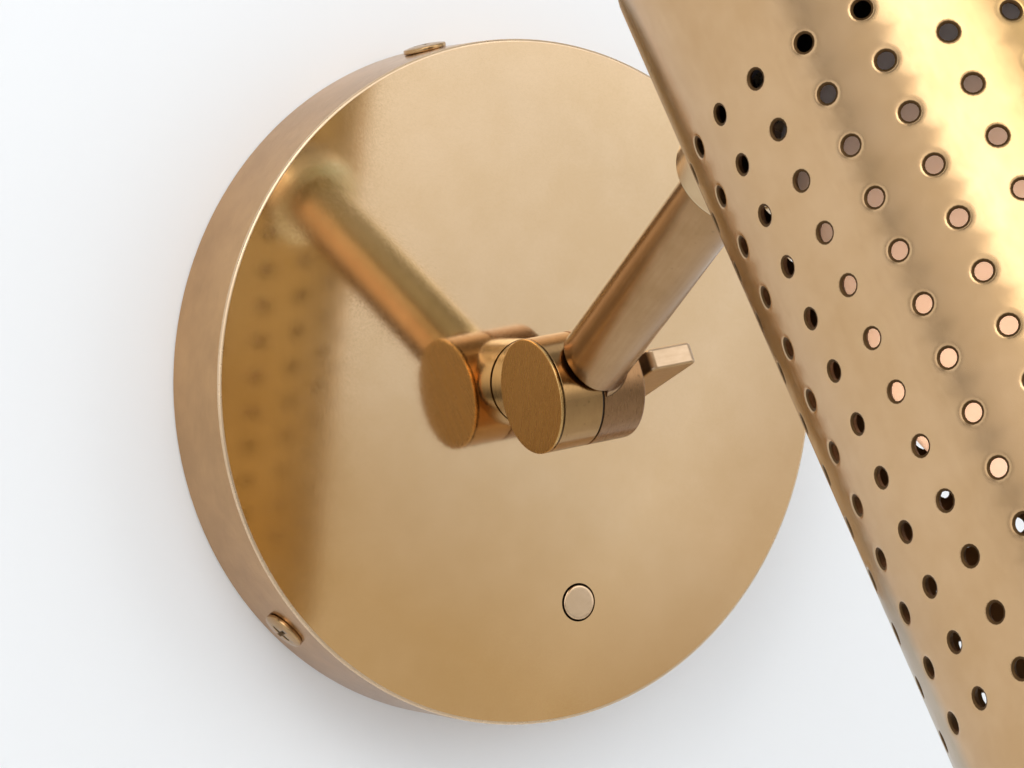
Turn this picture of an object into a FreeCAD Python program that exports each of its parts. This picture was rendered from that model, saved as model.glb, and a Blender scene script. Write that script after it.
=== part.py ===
"""Articulating brass wall sconce: canopy, swivel neck, clamped knuckle, arm and perforated shade.

Millimetres. The origin is the middle of the canopy's back on the wall, +Z is up, +X is to the right as the lamp
is seen from the room, and the room lies on the -Y side.
"""
import math
import os

import FreeCAD
import Part

V = FreeCAD.Vector
ORIGIN = V(0, 0, 0)
X, Y, Z = V(1, 0, 0), V(0, 1, 0), V(0, 0, 1)
OUT = V(0, -1, 0)

# Canopy
canopy_diameter = 127.0
canopy_depth = 19.0
canopy_wall = 1.2
canopy_edge_round = 0.6
rim_screw_height = 8.5
rim_screw_count = 3
rim_screw_first_angle = 90.0
button_inset = 20.9

# Working clearances and joints
running_fit = 0.05
seat_gap = 0.03
face_gap = 0.3
overrun = 2.0

# Wall bracket
bracket_thickness = 2.0
bracket_rim_gap = 1.0
wire_hole_diameter = 30.0
wall_slot_spacing = 83.3
wall_slot_width = 5.0
wall_slot_length = 16.0
tab_width = 16.0
tab_thickness = 2.5
tab_height = 14.0
ground_screw_x = -24.0
ground_screw_z = 24.0

# Rim screws and other small screws
rim_screw_diameter = 4.0
rim_head_diameter = 8.0
rim_head_edge = 0.75
rim_head_crown = 0.55
cross_length = 4.2
cross_width = 0.95
cross_depth = 0.8
rim_screw_reach = 3.0
ground_screw_diameter = 4.0
ground_head_diameter = 8.6
ground_head_height = 2.4
slot_width = 1.0
slot_depth = 0.9

# Supply terminal block
terminal_length = 22.0
terminal_width = 12.0
terminal_height = 10.0
terminal_x = 24.0
terminal_z = 24.0
terminal_pitch = 10.0
terminal_way_share = 1 / 3
terminal_wire_hole = 3.6
terminal_screw_diameter = 4.0
terminal_screw_length = 3.0

# Push button and its switch
button_diameter = 6.5
button_hole_diameter = 7.2
button_proud = 0.35
button_edge_round = 0.25
button_guide_diameter = 7.8
button_guide_length = 3.4
button_stem_diameter = 3.0
button_travel = 1.5
switch_width = 13.0
switch_body_depth = 12.6
switch_flange_length = 26.0
switch_flange_thickness = 1.5
switch_floor = 2.6
lug_width = 2.4
lug_thickness = 0.8
lug_length = 2.2
lug_spacing = 7.0
stud_diameter = 3.0
stud_length = 5.0
stud_offset = 9.8
stud_nut_width = 5.5
stud_nut_height = 2.2
spring_wire = 0.5
spring_coil_diameter = 5.4
spring_turns = 4

# Neck and its fixings
neck_diameter = 16.2
neck_angle = -5.7
stem_diameter = 10.0
stem_end_depth = 9.0
stem_bore_diameter = 6.0
swivel_washer_thickness = 0.3
swivel_washer_inset = 0.3
inner_washer_diameter = 17.0
inner_washer_thickness = 1.0
stop_washer_diameter = 18.0
stop_washer_thickness = 1.5
stop_tab_reach = 14.0
stop_tab_width = 2.5
stop_pin_diameter = 3.0
stop_pin_radius = 12.0
stop_pin_length = 3.4
neck_nut_width = 15.0
neck_nut_height = 4.0

# Knuckle
knuckle_height = 15.5
knuckle_drop = 1.0
barrel_diameter = 21.0
barrel_left = 9.0
barrel_right = 9.0
barrel_split = 0.4
saddle_clearance = 0.35
tube_clearance = 1.1
barrel_edge_chamfer = 0.25
cap_thickness = 0.7
cap_spigot_diameter = 9.9
cap_spigot_length = 1.0
seam_chamfer = 0.12
pocket_inner_diameter = 8.8
pocket_outer_diameter = 15.2
pocket_depth = 3.5
knuckle_washer_thickness = 0.28
knuckle_washer_inset = 0.3

# Thumb screw
clamp_diameter = 6.0
clamp_end_gap = 0.6
paddle_start = 10.7
paddle_width = 9.7
paddle_thickness = 4.0
paddle_length = 22.0
paddle_corner = 1.3
paddle_edge_round = 0.6
paddle_angle = 19.5
paddle_collar_diameter = 7.4
paddle_washer_diameter = 9.4
paddle_washer_thickness = 0.7

# Arm
arm_angle = 31.6
arm_reach = 69.7
arm_diameter = 12.6
arm_wall = 1.3
spigot_length = 12.0
spigot_bore_diameter = 6.0
flange_diameter = 19.4
flange_thickness = 5.0
flange_edge_round = 0.35
flange_collar_diameter = 15.6
flange_collar_height = 1.0
flange_spigot_length = 8.0
seam_gap = 0.7
seam_washer_inset = 0.5
seam_washer_play = 0.05

# Shade mount
boss_and_flange_length = 17.5
nipple_diameter = 8.0
nipple_bore_diameter = 5.0
nipple_inner_reach = 8.0
retaining_nut_diameter = 9.4
retaining_nut_height = 3.5
saddle_washer_diameter = 15.0
shade_nut_width = 12.0
shade_nut_height = 3.5

# Shade
shade_diameter = 75.0
shade_wall = 1.2
shade_lean = 3.2
shade_above_arm = 15.0
shade_below_arm = 128.0
hole_diameter = 3.6
holes_round = 24
hole_rings = 12
first_ring = 16.7
ring_pitch = 8.67
cap_plate = 1.2
cap_skirt = 3.0

# Lamp holder and bulb
bracket_width = 12.0
bracket_strip = 1.5
bracket_leg_below_arm = 7.5
bracket_shelf_above_arm = 9.5
shelf_past_axis = 9.0
socket_diameter = 33.0
socket_length = 24.0
socket_top_wall = 3.0
socket_neck_diameter = 24.0
socket_neck_length = 6.0
shell_diameter = 27.4
shell_wall = 0.5
shell_length = 14.0
contact_diameter = 8.0
contact_height = 1.6
contact_tip_gap = 0.3
socket_nipple_diameter = 9.8
socket_nipple_bore = 6.0
socket_nut_width = 14.0
socket_nut_height = 2.6
bulb_base_clearance = 0.7
bulb_base_wall = 0.4
bulb_base_length = 19.5
bulb_tip_diameter = 9.0
bulb_tip_height = 2.2
bulb_diameter = 48.0
bulb_glass_wall = 0.8
bulb_glass_length = 69.8
bulb_shoulder_gap = 0.6
bulb_shoulder_round = 4.0

# Sizes worked out from the ones above
canopy_radius = canopy_diameter / 2
button_offset = canopy_radius - button_inset
canopy_inner_radius = canopy_radius - canopy_wall
face_inner = canopy_depth - canopy_wall
barrel_radius = barrel_diameter / 2
saddle_radius = barrel_radius + saddle_clearance
knuckle_out = canopy_depth + knuckle_height
split_half = barrel_split / 2
neck_start = canopy_depth + swivel_washer_thickness + running_fit
arm_radius = arm_diameter / 2
arm_bore_radius = arm_radius - arm_wall
flange_end = arm_reach + flange_thickness
boss_start = flange_end + seam_gap
shade_skin = arm_reach + boss_and_flange_length
shade_radius = shade_diameter / 2
shade_inner_radius = shade_radius - shade_wall
shade_axis = shade_skin + shade_radius
bulb_base_diameter = shell_diameter - 2 * bulb_base_clearance
tab_face_radius = math.sqrt((canopy_inner_radius - face_gap) ** 2 - (tab_width / 2) ** 2)


def rod(radius, start, direction, length):
    """Solid cylinder from a point along a direction."""
    return Part.makeCylinder(radius, length, start, direction)


def ring(outer, inner, start, direction, length):
    """Cylinder with a concentric through hole."""
    hole = rod(inner, start - direction * overrun, direction, length + 2 * overrun)
    return rod(outer, start, direction, length).cut(hole)


def block(centre, size_x, size_y, size_z):
    """Box about its centre point."""
    corner = centre - V(size_x / 2, size_y / 2, size_z / 2)
    return Part.makeBox(size_x, size_y, size_z, corner)


def revolve(points, start, axis):
    """Full turn of a closed outline given as (radius, distance along the axis) pairs."""
    side = axis.cross(Z)
    if side.Length < 0.5:
        side = X
    side.normalize()
    corners = [start + side * radius + axis * along for radius, along in points]
    face = Part.Face(Part.makePolygon(corners + [corners[0]]))
    return face.revolve(start, axis, 360)


def hexagon(width, start, direction, height):
    """Hexagonal prism by its width across flats."""
    corner = width / math.sqrt(3)
    side = direction.cross(X)
    if side.Length < 0.5:
        side = direction.cross(Z)
    side.normalize()
    other = direction.cross(side)
    points = []
    for step in range(6):
        turn = math.radians(60 * step)
        points.append(start + side * (corner * math.cos(turn)) + other * (corner * math.sin(turn)))
    face = Part.Face(Part.makePolygon(points + [points[0]]))
    return face.extrude(direction * height)


def nut(width, bore_radius, start, direction, height):
    """Hexagonal nut with its bore."""
    hole = rod(bore_radius, start - direction * overrun, direction, height + 2 * overrun)
    return hexagon(width, start, direction, height).cut(hole)


def edges_at(shape, test):
    """Edges of a shape whose middle point passes a test."""
    found = []
    for edge in shape.Edges:
        middle = edge.valueAt((edge.FirstParameter + edge.LastParameter) / 2)
        if test(middle, edge):
            found.append(edge)
    return found


def polar(radius, angle, out):
    """Point at a radius and an angle on a plane at a distance out from the wall."""
    turn = math.radians(angle)
    return V(radius * math.cos(turn), -out, radius * math.sin(turn))


def compass(angle):
    """Direction across the wall at an angle from +X towards +Z."""
    turn = math.radians(angle)
    return V(math.cos(turn), 0, math.sin(turn))


def rim_angles():
    """Directions of the rim screws."""
    return [rim_screw_first_angle + 360 / rim_screw_count * step for step in range(rim_screw_count)]


def make_wall_bracket():
    """Steel plate on the wall with wire hole, two slots and three upright tabs."""
    plate = rod(canopy_inner_radius - bracket_rim_gap, ORIGIN, OUT, bracket_thickness)
    plate = plate.cut(rod(wire_hole_diameter / 2, Y * overrun, OUT, bracket_thickness + 2 * overrun))
    cut_depth = bracket_thickness + 2 * overrun
    straight = wall_slot_length - wall_slot_width
    for side in (-1, 1):
        centre = V(side * wall_slot_spacing / 2, -bracket_thickness / 2, 0)
        plate = plate.cut(block(centre, straight, cut_depth, wall_slot_width))
        for end in (-1, 1):
            start = V(centre.x + end * straight / 2, overrun, 0)
            plate = plate.cut(rod(wall_slot_width / 2, start, OUT, cut_depth))
    ground_hole = V(ground_screw_x, overrun, ground_screw_z)
    plate = plate.cut(rod(ground_screw_diameter / 2 + running_fit, ground_hole, OUT, cut_depth))
    for angle in rim_angles():
        plate = plate.fuse(make_tab(angle))
    return plate.removeSplitter()


def make_tab(angle):
    """Upright tab with the threaded hole for one rim screw."""
    middle = tab_face_radius - tab_thickness / 2
    tab = block(V(middle, -tab_height / 2, 0), tab_thickness, tab_height, tab_width)
    hole_start = V(middle - tab_thickness, -rim_screw_height, 0)
    tab = tab.cut(rod(rim_screw_diameter / 2 + running_fit, hole_start, X, 2 * tab_thickness))
    tab.rotate(ORIGIN, Y, -angle)
    return tab


def make_canopy_cover():
    """Round pan with the holes for stem, button and rim screws."""
    shell = rod(canopy_radius, ORIGIN, OUT, canopy_depth)
    rim = edges_at(shell, lambda p, e: abs(p.y + canopy_depth) < seat_gap and e.Length > canopy_radius)
    shell = shell.makeFillet(canopy_edge_round, rim)
    shell = shell.cut(rod(canopy_inner_radius, Y * overrun, OUT, face_inner + overrun))
    shell = shell.cut(rod(stem_diameter / 2, ORIGIN, OUT, canopy_depth + overrun))
    button_start = V(0, 0, -button_offset)
    shell = shell.cut(rod(button_hole_diameter / 2, button_start, OUT, canopy_depth + overrun))
    for angle in rim_angles():
        start = polar(canopy_inner_radius - overrun, angle, rim_screw_height)
        hole = rod(rim_screw_diameter / 2 + face_gap, start, compass(angle), canopy_wall + 2 * overrun)
        shell = shell.cut(hole)
    return shell


def make_pan_screw(diameter, length):
    """Screw along +Z with its head above the XY plane and a cross recess."""
    head_radius = rim_head_diameter / 2
    edge = rod(head_radius, ORIGIN, Z, rim_head_edge)
    crown_radius = (head_radius ** 2 + rim_head_crown ** 2) / (2 * rim_head_crown)
    centre = Z * (rim_head_edge + rim_head_crown - crown_radius)
    crown = Part.makeSphere(crown_radius, centre)
    head = rod(head_radius, ORIGIN, Z, rim_head_edge + rim_head_crown).common(crown)
    head = head.fuse(edge).removeSplitter()
    top = rim_head_edge + rim_head_crown
    for turn in (45, 135):
        arm = block(Z * (top - cross_depth / 2 + overrun / 2), cross_length, cross_width, cross_depth + overrun)
        arm.rotate(ORIGIN, Z, turn)
        head = head.cut(arm)
    shank = rod(diameter / 2, Z * -length, Z, length)
    return head.fuse(shank).removeSplitter()


def make_canopy_screws():
    """Radial screws through the canopy's side into the bracket's tabs."""
    length = canopy_radius - tab_face_radius + tab_thickness + rim_screw_reach
    screws = []
    for angle in rim_angles():
        screw = make_pan_screw(rim_screw_diameter, length)
        screw.rotate(ORIGIN, Y, 90)
        screw.rotate(ORIGIN, Y, -angle)
        screw.translate(polar(canopy_radius + seat_gap, angle, rim_screw_height))
        screws.append(screw)
    return Part.makeCompound(screws)


def make_slotted_screw(diameter, length, head_diameter, head_height, place):
    """Slotted screw into the wall side, its head towards the room."""
    head = rod(head_diameter / 2, ORIGIN, OUT, head_height)
    slot_centre = V(0, -head_height + slot_depth / 2 - overrun / 2, 0)
    head = head.cut(block(slot_centre, head_diameter + overrun, slot_depth + overrun, slot_width))
    screw = head.fuse(rod(diameter / 2, ORIGIN, Y, length)).removeSplitter()
    screw.translate(place)
    return screw


def make_ground_screw():
    """Earth screw in the bracket."""
    place = V(ground_screw_x, -bracket_thickness - seat_gap, ground_screw_z)
    return make_slotted_screw(ground_screw_diameter, bracket_thickness, ground_head_diameter,
                              ground_head_height, place)


def make_terminal_block():
    """Two-way terminal block standing on the bracket, with its wire ways and screw wells."""
    out = bracket_thickness + seat_gap
    centre = V(terminal_x, -out - terminal_height / 2, terminal_z)
    body = block(centre, terminal_length, terminal_height, terminal_width)
    for side in (-1, 1):
        way_out = out + terminal_height * terminal_way_share
        way = V(terminal_x + side * terminal_pitch / 2, -way_out, terminal_z - terminal_width)
        body = body.cut(rod(terminal_wire_hole / 2, way, Z, 2 * terminal_width))
        well = V(way.x, -way_out, terminal_z)
        body = body.cut(rod(terminal_screw_diameter / 2 + running_fit, well, OUT, terminal_height))
    return body


def make_terminal_screws():
    """Clamping screws in the terminal block's wells."""
    screws = []
    for side in (-1, 1):
        x = terminal_x + side * terminal_pitch / 2
        out = bracket_thickness + seat_gap + terminal_height * (1 - terminal_way_share)
        screw = rod(terminal_screw_diameter / 2, V(x, -out, terminal_z), OUT, terminal_screw_length)
        slot_centre = V(x, -out - terminal_screw_length, terminal_z)
        screws.append(screw.cut(block(slot_centre, terminal_screw_diameter + overrun, 2 * slot_depth, slot_width)))
    return Part.makeCompound(screws)


def make_switch_body():
    """Switch housing with a flange against the canopy's face and a bore for the button."""
    front = face_inner - seat_gap
    flange = block(V(0, -front + switch_flange_thickness / 2, 0),
                   switch_flange_length, switch_flange_thickness, switch_width)
    box = block(V(0, -front + switch_body_depth / 2, 0), switch_width, switch_body_depth, switch_width)
    body = flange.fuse(box).removeSplitter()
    bore_depth = switch_body_depth - switch_floor
    body = body.cut(rod(button_guide_diameter / 2 + running_fit, V(0, -front + bore_depth, 0), OUT,
                        bore_depth + overrun))
    for side in (-1, 1):
        hole = V(side * stud_offset, -front + 2 * switch_flange_thickness, 0)
        body = body.cut(rod(stud_diameter / 2 + running_fit, hole, OUT, 4 * switch_flange_thickness))
    body.translate(Z * -button_offset)
    return body


def make_switch_lugs():
    """Two solder lugs on the back of the switch."""
    back = face_inner - seat_gap - switch_body_depth
    lugs = []
    for side in (-1, 1):
        centre = V(side * lug_spacing / 2, -back + lug_length / 2, -button_offset)
        lugs.append(block(centre, lug_width, lug_length, lug_thickness))
    return Part.makeCompound(lugs)


def make_switch_studs():
    """Studs on the inside of the canopy's face."""
    studs = []
    for side in (-1, 1):
        start = V(side * stud_offset, -face_inner, -button_offset)
        studs.append(rod(stud_diameter / 2, start, Y, stud_length))
    return Part.makeCompound(studs)


def make_switch_nuts():
    """Nuts that hold the switch flange on the studs."""
    start_out = face_inner - seat_gap - switch_flange_thickness - seat_gap
    nuts = []
    for side in (-1, 1):
        start = V(side * stud_offset, -start_out, -button_offset)
        nuts.append(nut(stud_nut_width, stud_diameter / 2 + running_fit, start, Y, stud_nut_height))
    return Part.makeCompound(nuts)


def make_push_button():
    """Brass button with a wider guide inside the switch and a thin stem."""
    front = canopy_depth + button_proud
    guide_front = face_inner - running_fit - seat_gap
    cap = rod(button_diameter / 2, V(0, -front, 0), Y, front - guide_front)
    rim = edges_at(cap, lambda p, e: abs(p.y + front) < seat_gap and e.Length > button_diameter)
    cap = cap.makeFillet(button_edge_round, rim)
    guide = rod(button_guide_diameter / 2, V(0, -guide_front, 0), Y, button_guide_length)
    bore_floor = face_inner - seat_gap - switch_body_depth + switch_floor
    stem_end = bore_floor + button_travel + running_fit
    stem_start = guide_front - button_guide_length
    stem = rod(button_stem_diameter / 2, V(0, -stem_start, 0), Y, stem_start - stem_end)
    button = cap.fuse(guide).fuse(stem).removeSplitter()
    button.translate(Z * -button_offset)
    return button


def make_button_spring():
    """Coil spring between the button's guide and the floor of the switch."""
    bore_floor = face_inner - seat_gap - switch_body_depth + switch_floor
    guide_back = face_inner - running_fit - seat_gap - button_guide_length
    room = guide_back - bore_floor - spring_wire - 2 * running_fit
    radius = (spring_coil_diameter - spring_wire) / 2
    helix = Part.makeHelix(room / spring_turns, room, radius)
    wire = Part.Wire(helix.Edges)
    section = Part.Wire(Part.makeCircle(spring_wire / 2, V(radius, 0, 0), Y))
    coil = wire.makePipeShell([section], True, True)
    coil.rotate(ORIGIN, X, 90)
    coil.translate(V(0, -bore_floor - spring_wire / 2 - running_fit, -button_offset))
    return coil


def swivelled(shape):
    """Turns a neck-side shape about the canopy's axis to the photographed swivel."""
    shape.rotate(ORIGIN, Y, -neck_angle)
    return shape


def knuckle_point():
    """Middle of the knuckle barrel before the swivel, a little below the neck's axis."""
    return OUT * knuckle_out - Z * knuckle_drop


def barrel_piece(radius, start_x, end_x):
    """Cylinder on the knuckle's axis between two places along it."""
    return rod(radius, knuckle_point() + X * start_x, X, end_x - start_x)


def barrel_rims(shape, place):
    """Full-size rim edges of the barrel at one place along its axis."""
    def test(point, edge):
        return abs(point.x - place) < seat_gap and edge.Length > barrel_diameter
    return edges_at(shape, test)


def make_pocket(start_x, end_x):
    """Ring-shaped way for the wires round the knuckle's pivot."""
    outer = barrel_piece(pocket_outer_diameter / 2, start_x, end_x)
    return outer.cut(barrel_piece(pocket_inner_diameter / 2, start_x - overrun, end_x + overrun))


def make_swivel_neck():
    """Stem through the canopy, round neck and the barrel's left half, hollow for the wires."""
    half_start = -barrel_left + cap_thickness + seat_gap
    half = barrel_piece(barrel_radius, half_start, -split_half)
    half = half.makeChamfer(seam_chamfer, barrel_rims(half, half_start))
    neck = rod(neck_diameter / 2, OUT * neck_start, OUT, knuckle_out - neck_start)
    neck = neck.cut(barrel_piece(saddle_radius, -split_half, barrel_diameter))
    neck = neck.cut(barrel_piece(barrel_radius + seat_gap, -barrel_diameter, half_start))
    body = half.fuse(neck).removeSplitter()
    body = body.fuse(rod(stem_diameter / 2 - running_fit, OUT * stem_end_depth, OUT,
                         neck_start - stem_end_depth + overrun))
    body = body.cut(make_pocket(-split_half - pocket_depth, split_half))
    wire_way = rod(stem_bore_diameter / 2, OUT * (stem_end_depth - overrun), OUT,
                   knuckle_out - stem_end_depth + overrun - pocket_inner_diameter / 2)
    body = body.cut(wire_way)
    clamp_end = -barrel_left + cap_thickness + cap_spigot_length + clamp_end_gap
    body = body.cut(barrel_piece(clamp_diameter / 2 + running_fit, clamp_end, split_half))
    body = body.cut(barrel_piece(cap_spigot_diameter / 2 + running_fit, half_start - overrun,
                                 half_start + cap_spigot_length + running_fit))
    return swivelled(body)


def make_swivel_washer():
    """Thin washer between the neck and the canopy."""
    outer = neck_diameter / 2 - swivel_washer_inset
    return ring(outer, stem_diameter / 2, OUT * canopy_depth, OUT, swivel_washer_thickness)


def make_inner_washer():
    """Washer behind the canopy's face."""
    return ring(inner_washer_diameter / 2, stem_diameter / 2, OUT * face_inner, Y, inner_washer_thickness)


def make_stop_washer():
    """Keyed washer whose tab meets the stop pin at either end of the swivel."""
    start = face_inner - inner_washer_thickness - running_fit
    washer = rod(stop_washer_diameter / 2, OUT * start, Y, stop_washer_thickness)
    tab_centre = V(0, -start + stop_washer_thickness / 2, stop_tab_reach / 2)
    washer = washer.fuse(block(tab_centre, stop_tab_width, stop_washer_thickness, stop_tab_reach))
    hole = rod(stem_diameter / 2, OUT * (start + overrun), Y, stop_washer_thickness + 2 * overrun)
    return swivelled(washer.cut(hole).removeSplitter())


def make_stop_pin():
    """Stud on the inside of the canopy's face, below the stem."""
    return rod(stop_pin_diameter / 2, V(0, -face_inner, -stop_pin_radius), Y, stop_pin_length)


def make_neck_nut():
    """Nut that draws the neck against the canopy."""
    start = face_inner - inner_washer_thickness - stop_washer_thickness - 2 * running_fit
    return swivelled(nut(neck_nut_width, stem_diameter / 2, OUT * start, Y, neck_nut_height))


def make_knuckle_cap():
    """Round cap with a spigot on the barrel's left end."""
    cap = barrel_piece(barrel_radius, -barrel_left, -barrel_left + cap_thickness)
    cap = cap.makeChamfer(barrel_edge_chamfer, barrel_rims(cap, -barrel_left))
    cap = cap.makeChamfer(seam_chamfer, barrel_rims(cap, -barrel_left + cap_thickness))
    spigot = barrel_piece(cap_spigot_diameter / 2, -barrel_left + cap_thickness / 2,
                          -barrel_left + cap_thickness + cap_spigot_length)
    return swivelled(cap.fuse(spigot).removeSplitter())


def make_knuckle_washer():
    """Thin washer in the barrel's split."""
    half = knuckle_washer_thickness / 2
    outer = barrel_piece(barrel_radius - knuckle_washer_inset, -half, half)
    inner = barrel_piece(pocket_outer_diameter / 2 + knuckle_washer_inset, -overrun, overrun)
    return swivelled(outer.cut(inner))


def make_paddle_screw():
    """Clamp screw on the knuckle's axis with a flat paddle at its outer end."""
    paddle = block(X * (paddle_start + paddle_width / 2), paddle_width, paddle_length, paddle_thickness)
    corners = edges_at(paddle, lambda p, e: abs(p.z) < seat_gap)
    paddle = paddle.makeFillet(paddle_corner, corners)
    broad = edges_at(paddle, lambda p, e: abs(abs(p.z) - paddle_thickness / 2) < seat_gap)
    paddle = paddle.makeFillet(paddle_edge_round, broad)
    collar_start = barrel_right + 2 * seat_gap + paddle_washer_thickness
    collar = rod(paddle_collar_diameter / 2, X * collar_start, X, paddle_start + paddle_edge_round - collar_start)
    inner_end = -barrel_left + cap_thickness + cap_spigot_length + clamp_end_gap + running_fit
    shank = rod(clamp_diameter / 2, X * inner_end, X, collar_start - inner_end + overrun)
    screw = paddle.fuse(collar).fuse(shank).removeSplitter()
    screw.rotate(ORIGIN, X, -paddle_angle)
    screw.translate(knuckle_point())
    return swivelled(screw)


def make_paddle_washer():
    """Washer between the clamp screw's collar and the barrel."""
    start = barrel_right + seat_gap
    outer = barrel_piece(paddle_washer_diameter / 2, start, start + paddle_washer_thickness)
    inner = barrel_piece(clamp_diameter / 2 + running_fit, start - overrun, start + 2 * overrun)
    return swivelled(outer.cut(inner))


def on_arm(shape):
    """Places a shape built along +Z about the knuckle's middle onto the lifted arm."""
    shape.rotate(ORIGIN, X, 90 - arm_angle)
    shape.translate(knuckle_point())
    return swivelled(shape)


def cross_rod(radius, start_x, end_x):
    """Cylinder on the knuckle's axis in the arm's own frame."""
    return rod(radius, X * start_x, X, end_x - start_x)


def make_arm_knuckle():
    """Barrel's right half with the hollow spigot that carries the tube."""
    half = cross_rod(barrel_radius, split_half, barrel_right)
    half = half.makeChamfer(barrel_edge_chamfer, barrel_rims(half, barrel_right))
    spigot = rod(arm_bore_radius - running_fit, ORIGIN, Z, barrel_radius + spigot_length)
    body = half.fuse(spigot).removeSplitter()
    body = body.cut(cross_rod(saddle_radius, -barrel_diameter, split_half))
    pocket = cross_rod(pocket_outer_diameter / 2, split_half - overrun, split_half + pocket_depth)
    pocket = pocket.cut(cross_rod(pocket_inner_diameter / 2, -overrun, split_half + pocket_depth + overrun))
    body = body.cut(pocket)
    wire_way = rod(spigot_bore_diameter / 2, Z * (pocket_inner_diameter / 2), Z, arm_reach)
    body = body.cut(wire_way)
    body = body.cut(cross_rod(clamp_diameter / 2 + running_fit, -overrun, barrel_right + overrun))
    return on_arm(body)


def make_arm_tube():
    """Straight tube, its lower end saddled over the barrel."""
    tube = ring(arm_radius, arm_bore_radius, ORIGIN, Z, arm_reach)
    tube = tube.cut(cross_rod(barrel_radius + tube_clearance, -barrel_diameter, split_half))
    tube = tube.cut(cross_rod(barrel_radius + seat_gap, 0, barrel_diameter))
    return on_arm(tube)


def make_arm_flange():
    """Round flange with a low collar round the tube and a spigot inside it."""
    disc = rod(flange_diameter / 2, Z * arm_reach, Z, flange_thickness)
    rims = edges_at(disc, lambda p, e: e.Length > flange_diameter * 2)
    disc = disc.makeFillet(flange_edge_round, rims)
    collar = rod(flange_collar_diameter / 2, Z * (arm_reach - flange_collar_height), Z,
                 flange_collar_height + flange_thickness / 2)
    collar = collar.cut(rod(arm_radius + seat_gap, ORIGIN, Z, arm_reach + seat_gap))
    spigot = rod(arm_bore_radius - running_fit, Z * (arm_reach - flange_spigot_length), Z,
                 flange_spigot_length + flange_thickness / 2)
    body = disc.fuse(collar).fuse(spigot).removeSplitter()
    body = body.cut(rod(arm_radius + seat_gap, ORIGIN, Z, arm_reach + seat_gap).cut(
        rod(arm_bore_radius - running_fit, Z * -overrun, Z, arm_reach + overrun * 2)))
    bore = rod(nipple_diameter / 2 + running_fit, ORIGIN, Z, shade_skin)
    return on_arm(body.cut(bore))


def make_seam_washer():
    """Washer between the flange and the shade's boss."""
    start = Z * (flange_end + seam_washer_play)
    thickness = seam_gap - 2 * seam_washer_play
    washer = ring(flange_diameter / 2 - seam_washer_inset, nipple_diameter / 2 + running_fit, start, Z, thickness)
    return on_arm(washer)


def shade_place(shape):
    """Leans a shade-side shape about the point where the arm's axis meets the shade."""
    shape.rotate(Z * shade_skin, X, shade_lean)
    return shape


def shade_rod(radius, low, high):
    """Leaned cylinder on the shade's axis between two distances below the arm."""
    return shade_place(rod(radius, V(0, -low, shade_axis), OUT, high - low))


def make_shade_boss():
    """Round boss saddled against the shade's outside."""
    boss = rod(flange_diameter / 2, Z * boss_start, Z, shade_radius)
    rims = edges_at(boss, lambda p, e: abs(p.z - boss_start) < seat_gap and e.Length > flange_diameter * 2)
    boss = boss.makeFillet(flange_edge_round, rims)
    boss = boss.cut(shade_rod(shade_radius + seat_gap, -shade_below_arm, shade_below_arm))
    beyond = rod(flange_diameter, Z * shade_axis, Z, shade_diameter)
    boss = boss.cut(beyond)
    boss = boss.cut(rod(nipple_diameter / 2 + running_fit, ORIGIN, Z, shade_axis))
    return on_arm(boss)


def make_swivel_nipple():
    """Hollow threaded pivot from inside the arm to inside the shade."""
    start = arm_reach - flange_spigot_length - face_gap - retaining_nut_height
    end = shade_skin + nipple_inner_reach
    nipple = ring(nipple_diameter / 2, nipple_bore_diameter / 2, Z * start, Z, end - start)
    return on_arm(nipple)


def make_retaining_nut():
    """Round nut on the nipple inside the arm tube."""
    start = arm_reach - flange_spigot_length - face_gap - retaining_nut_height
    body = ring(retaining_nut_diameter / 2, nipple_diameter / 2 + running_fit, Z * start, Z, retaining_nut_height)
    slot = block(Z * start, retaining_nut_diameter + overrun, slot_width, 2 * slot_depth)
    return on_arm(body.cut(slot.cut(rod(nipple_diameter / 2 + slot_depth, Z * (start - overrun), Z, 2 * overrun))))


def leg_start():
    """Distance along the arm of the bracket leg's outer side."""
    sagitta = shade_inner_radius - math.sqrt(shade_inner_radius ** 2 - (bracket_width / 2) ** 2)
    lean_rise = bracket_shelf_above_arm * math.sin(math.radians(shade_lean))
    return shade_skin + shade_wall + sagitta + lean_rise + face_gap


def make_saddle_washer():
    """Washer that fills the curve between the shade's wall and the bracket."""
    washer = ring(saddle_washer_diameter / 2, nipple_diameter / 2 + running_fit, Z * shade_skin, Z,
                  leg_start() - seat_gap - shade_skin)
    inside = shade_rod(shade_inner_radius - seat_gap, -shade_below_arm, shade_below_arm)
    return on_arm(washer.common(inside))


def make_shade_nut():
    """Nut on the nipple that clamps shade, washer and bracket to the boss."""
    start = Z * (leg_start() + bracket_strip + seat_gap)
    return on_arm(nut(shade_nut_width, nipple_diameter / 2 + running_fit, start, Z, shade_nut_height))


def make_socket_bracket():
    """Bent strip from the nipple to the top of the lamp holder."""
    leg_height = bracket_leg_below_arm + bracket_shelf_above_arm + bracket_strip
    leg_centre = V(0, (bracket_shelf_above_arm + bracket_strip - bracket_leg_below_arm) / 2,
                   leg_start() + bracket_strip / 2)
    leg = block(leg_centre, bracket_width, leg_height, bracket_strip)
    leg = leg.cut(rod(nipple_diameter / 2 + running_fit, Z * shade_skin, Z, shade_radius))
    shelf_length = shade_axis + shelf_past_axis - leg_start()
    shelf_centre = V(0, bracket_shelf_above_arm + bracket_strip / 2, leg_start() + shelf_length / 2)
    shelf = block(shelf_centre, bracket_width, bracket_strip, shelf_length)
    hole = rod(socket_nipple_diameter / 2 + running_fit, V(0, 0, shade_axis), Y, shade_radius)
    shelf = shade_place(shelf.cut(hole))
    return on_arm(leg.fuse(shelf).removeSplitter())


def socket_top():
    """Distance above the arm of the lamp holder's top."""
    return bracket_shelf_above_arm - seat_gap


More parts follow.
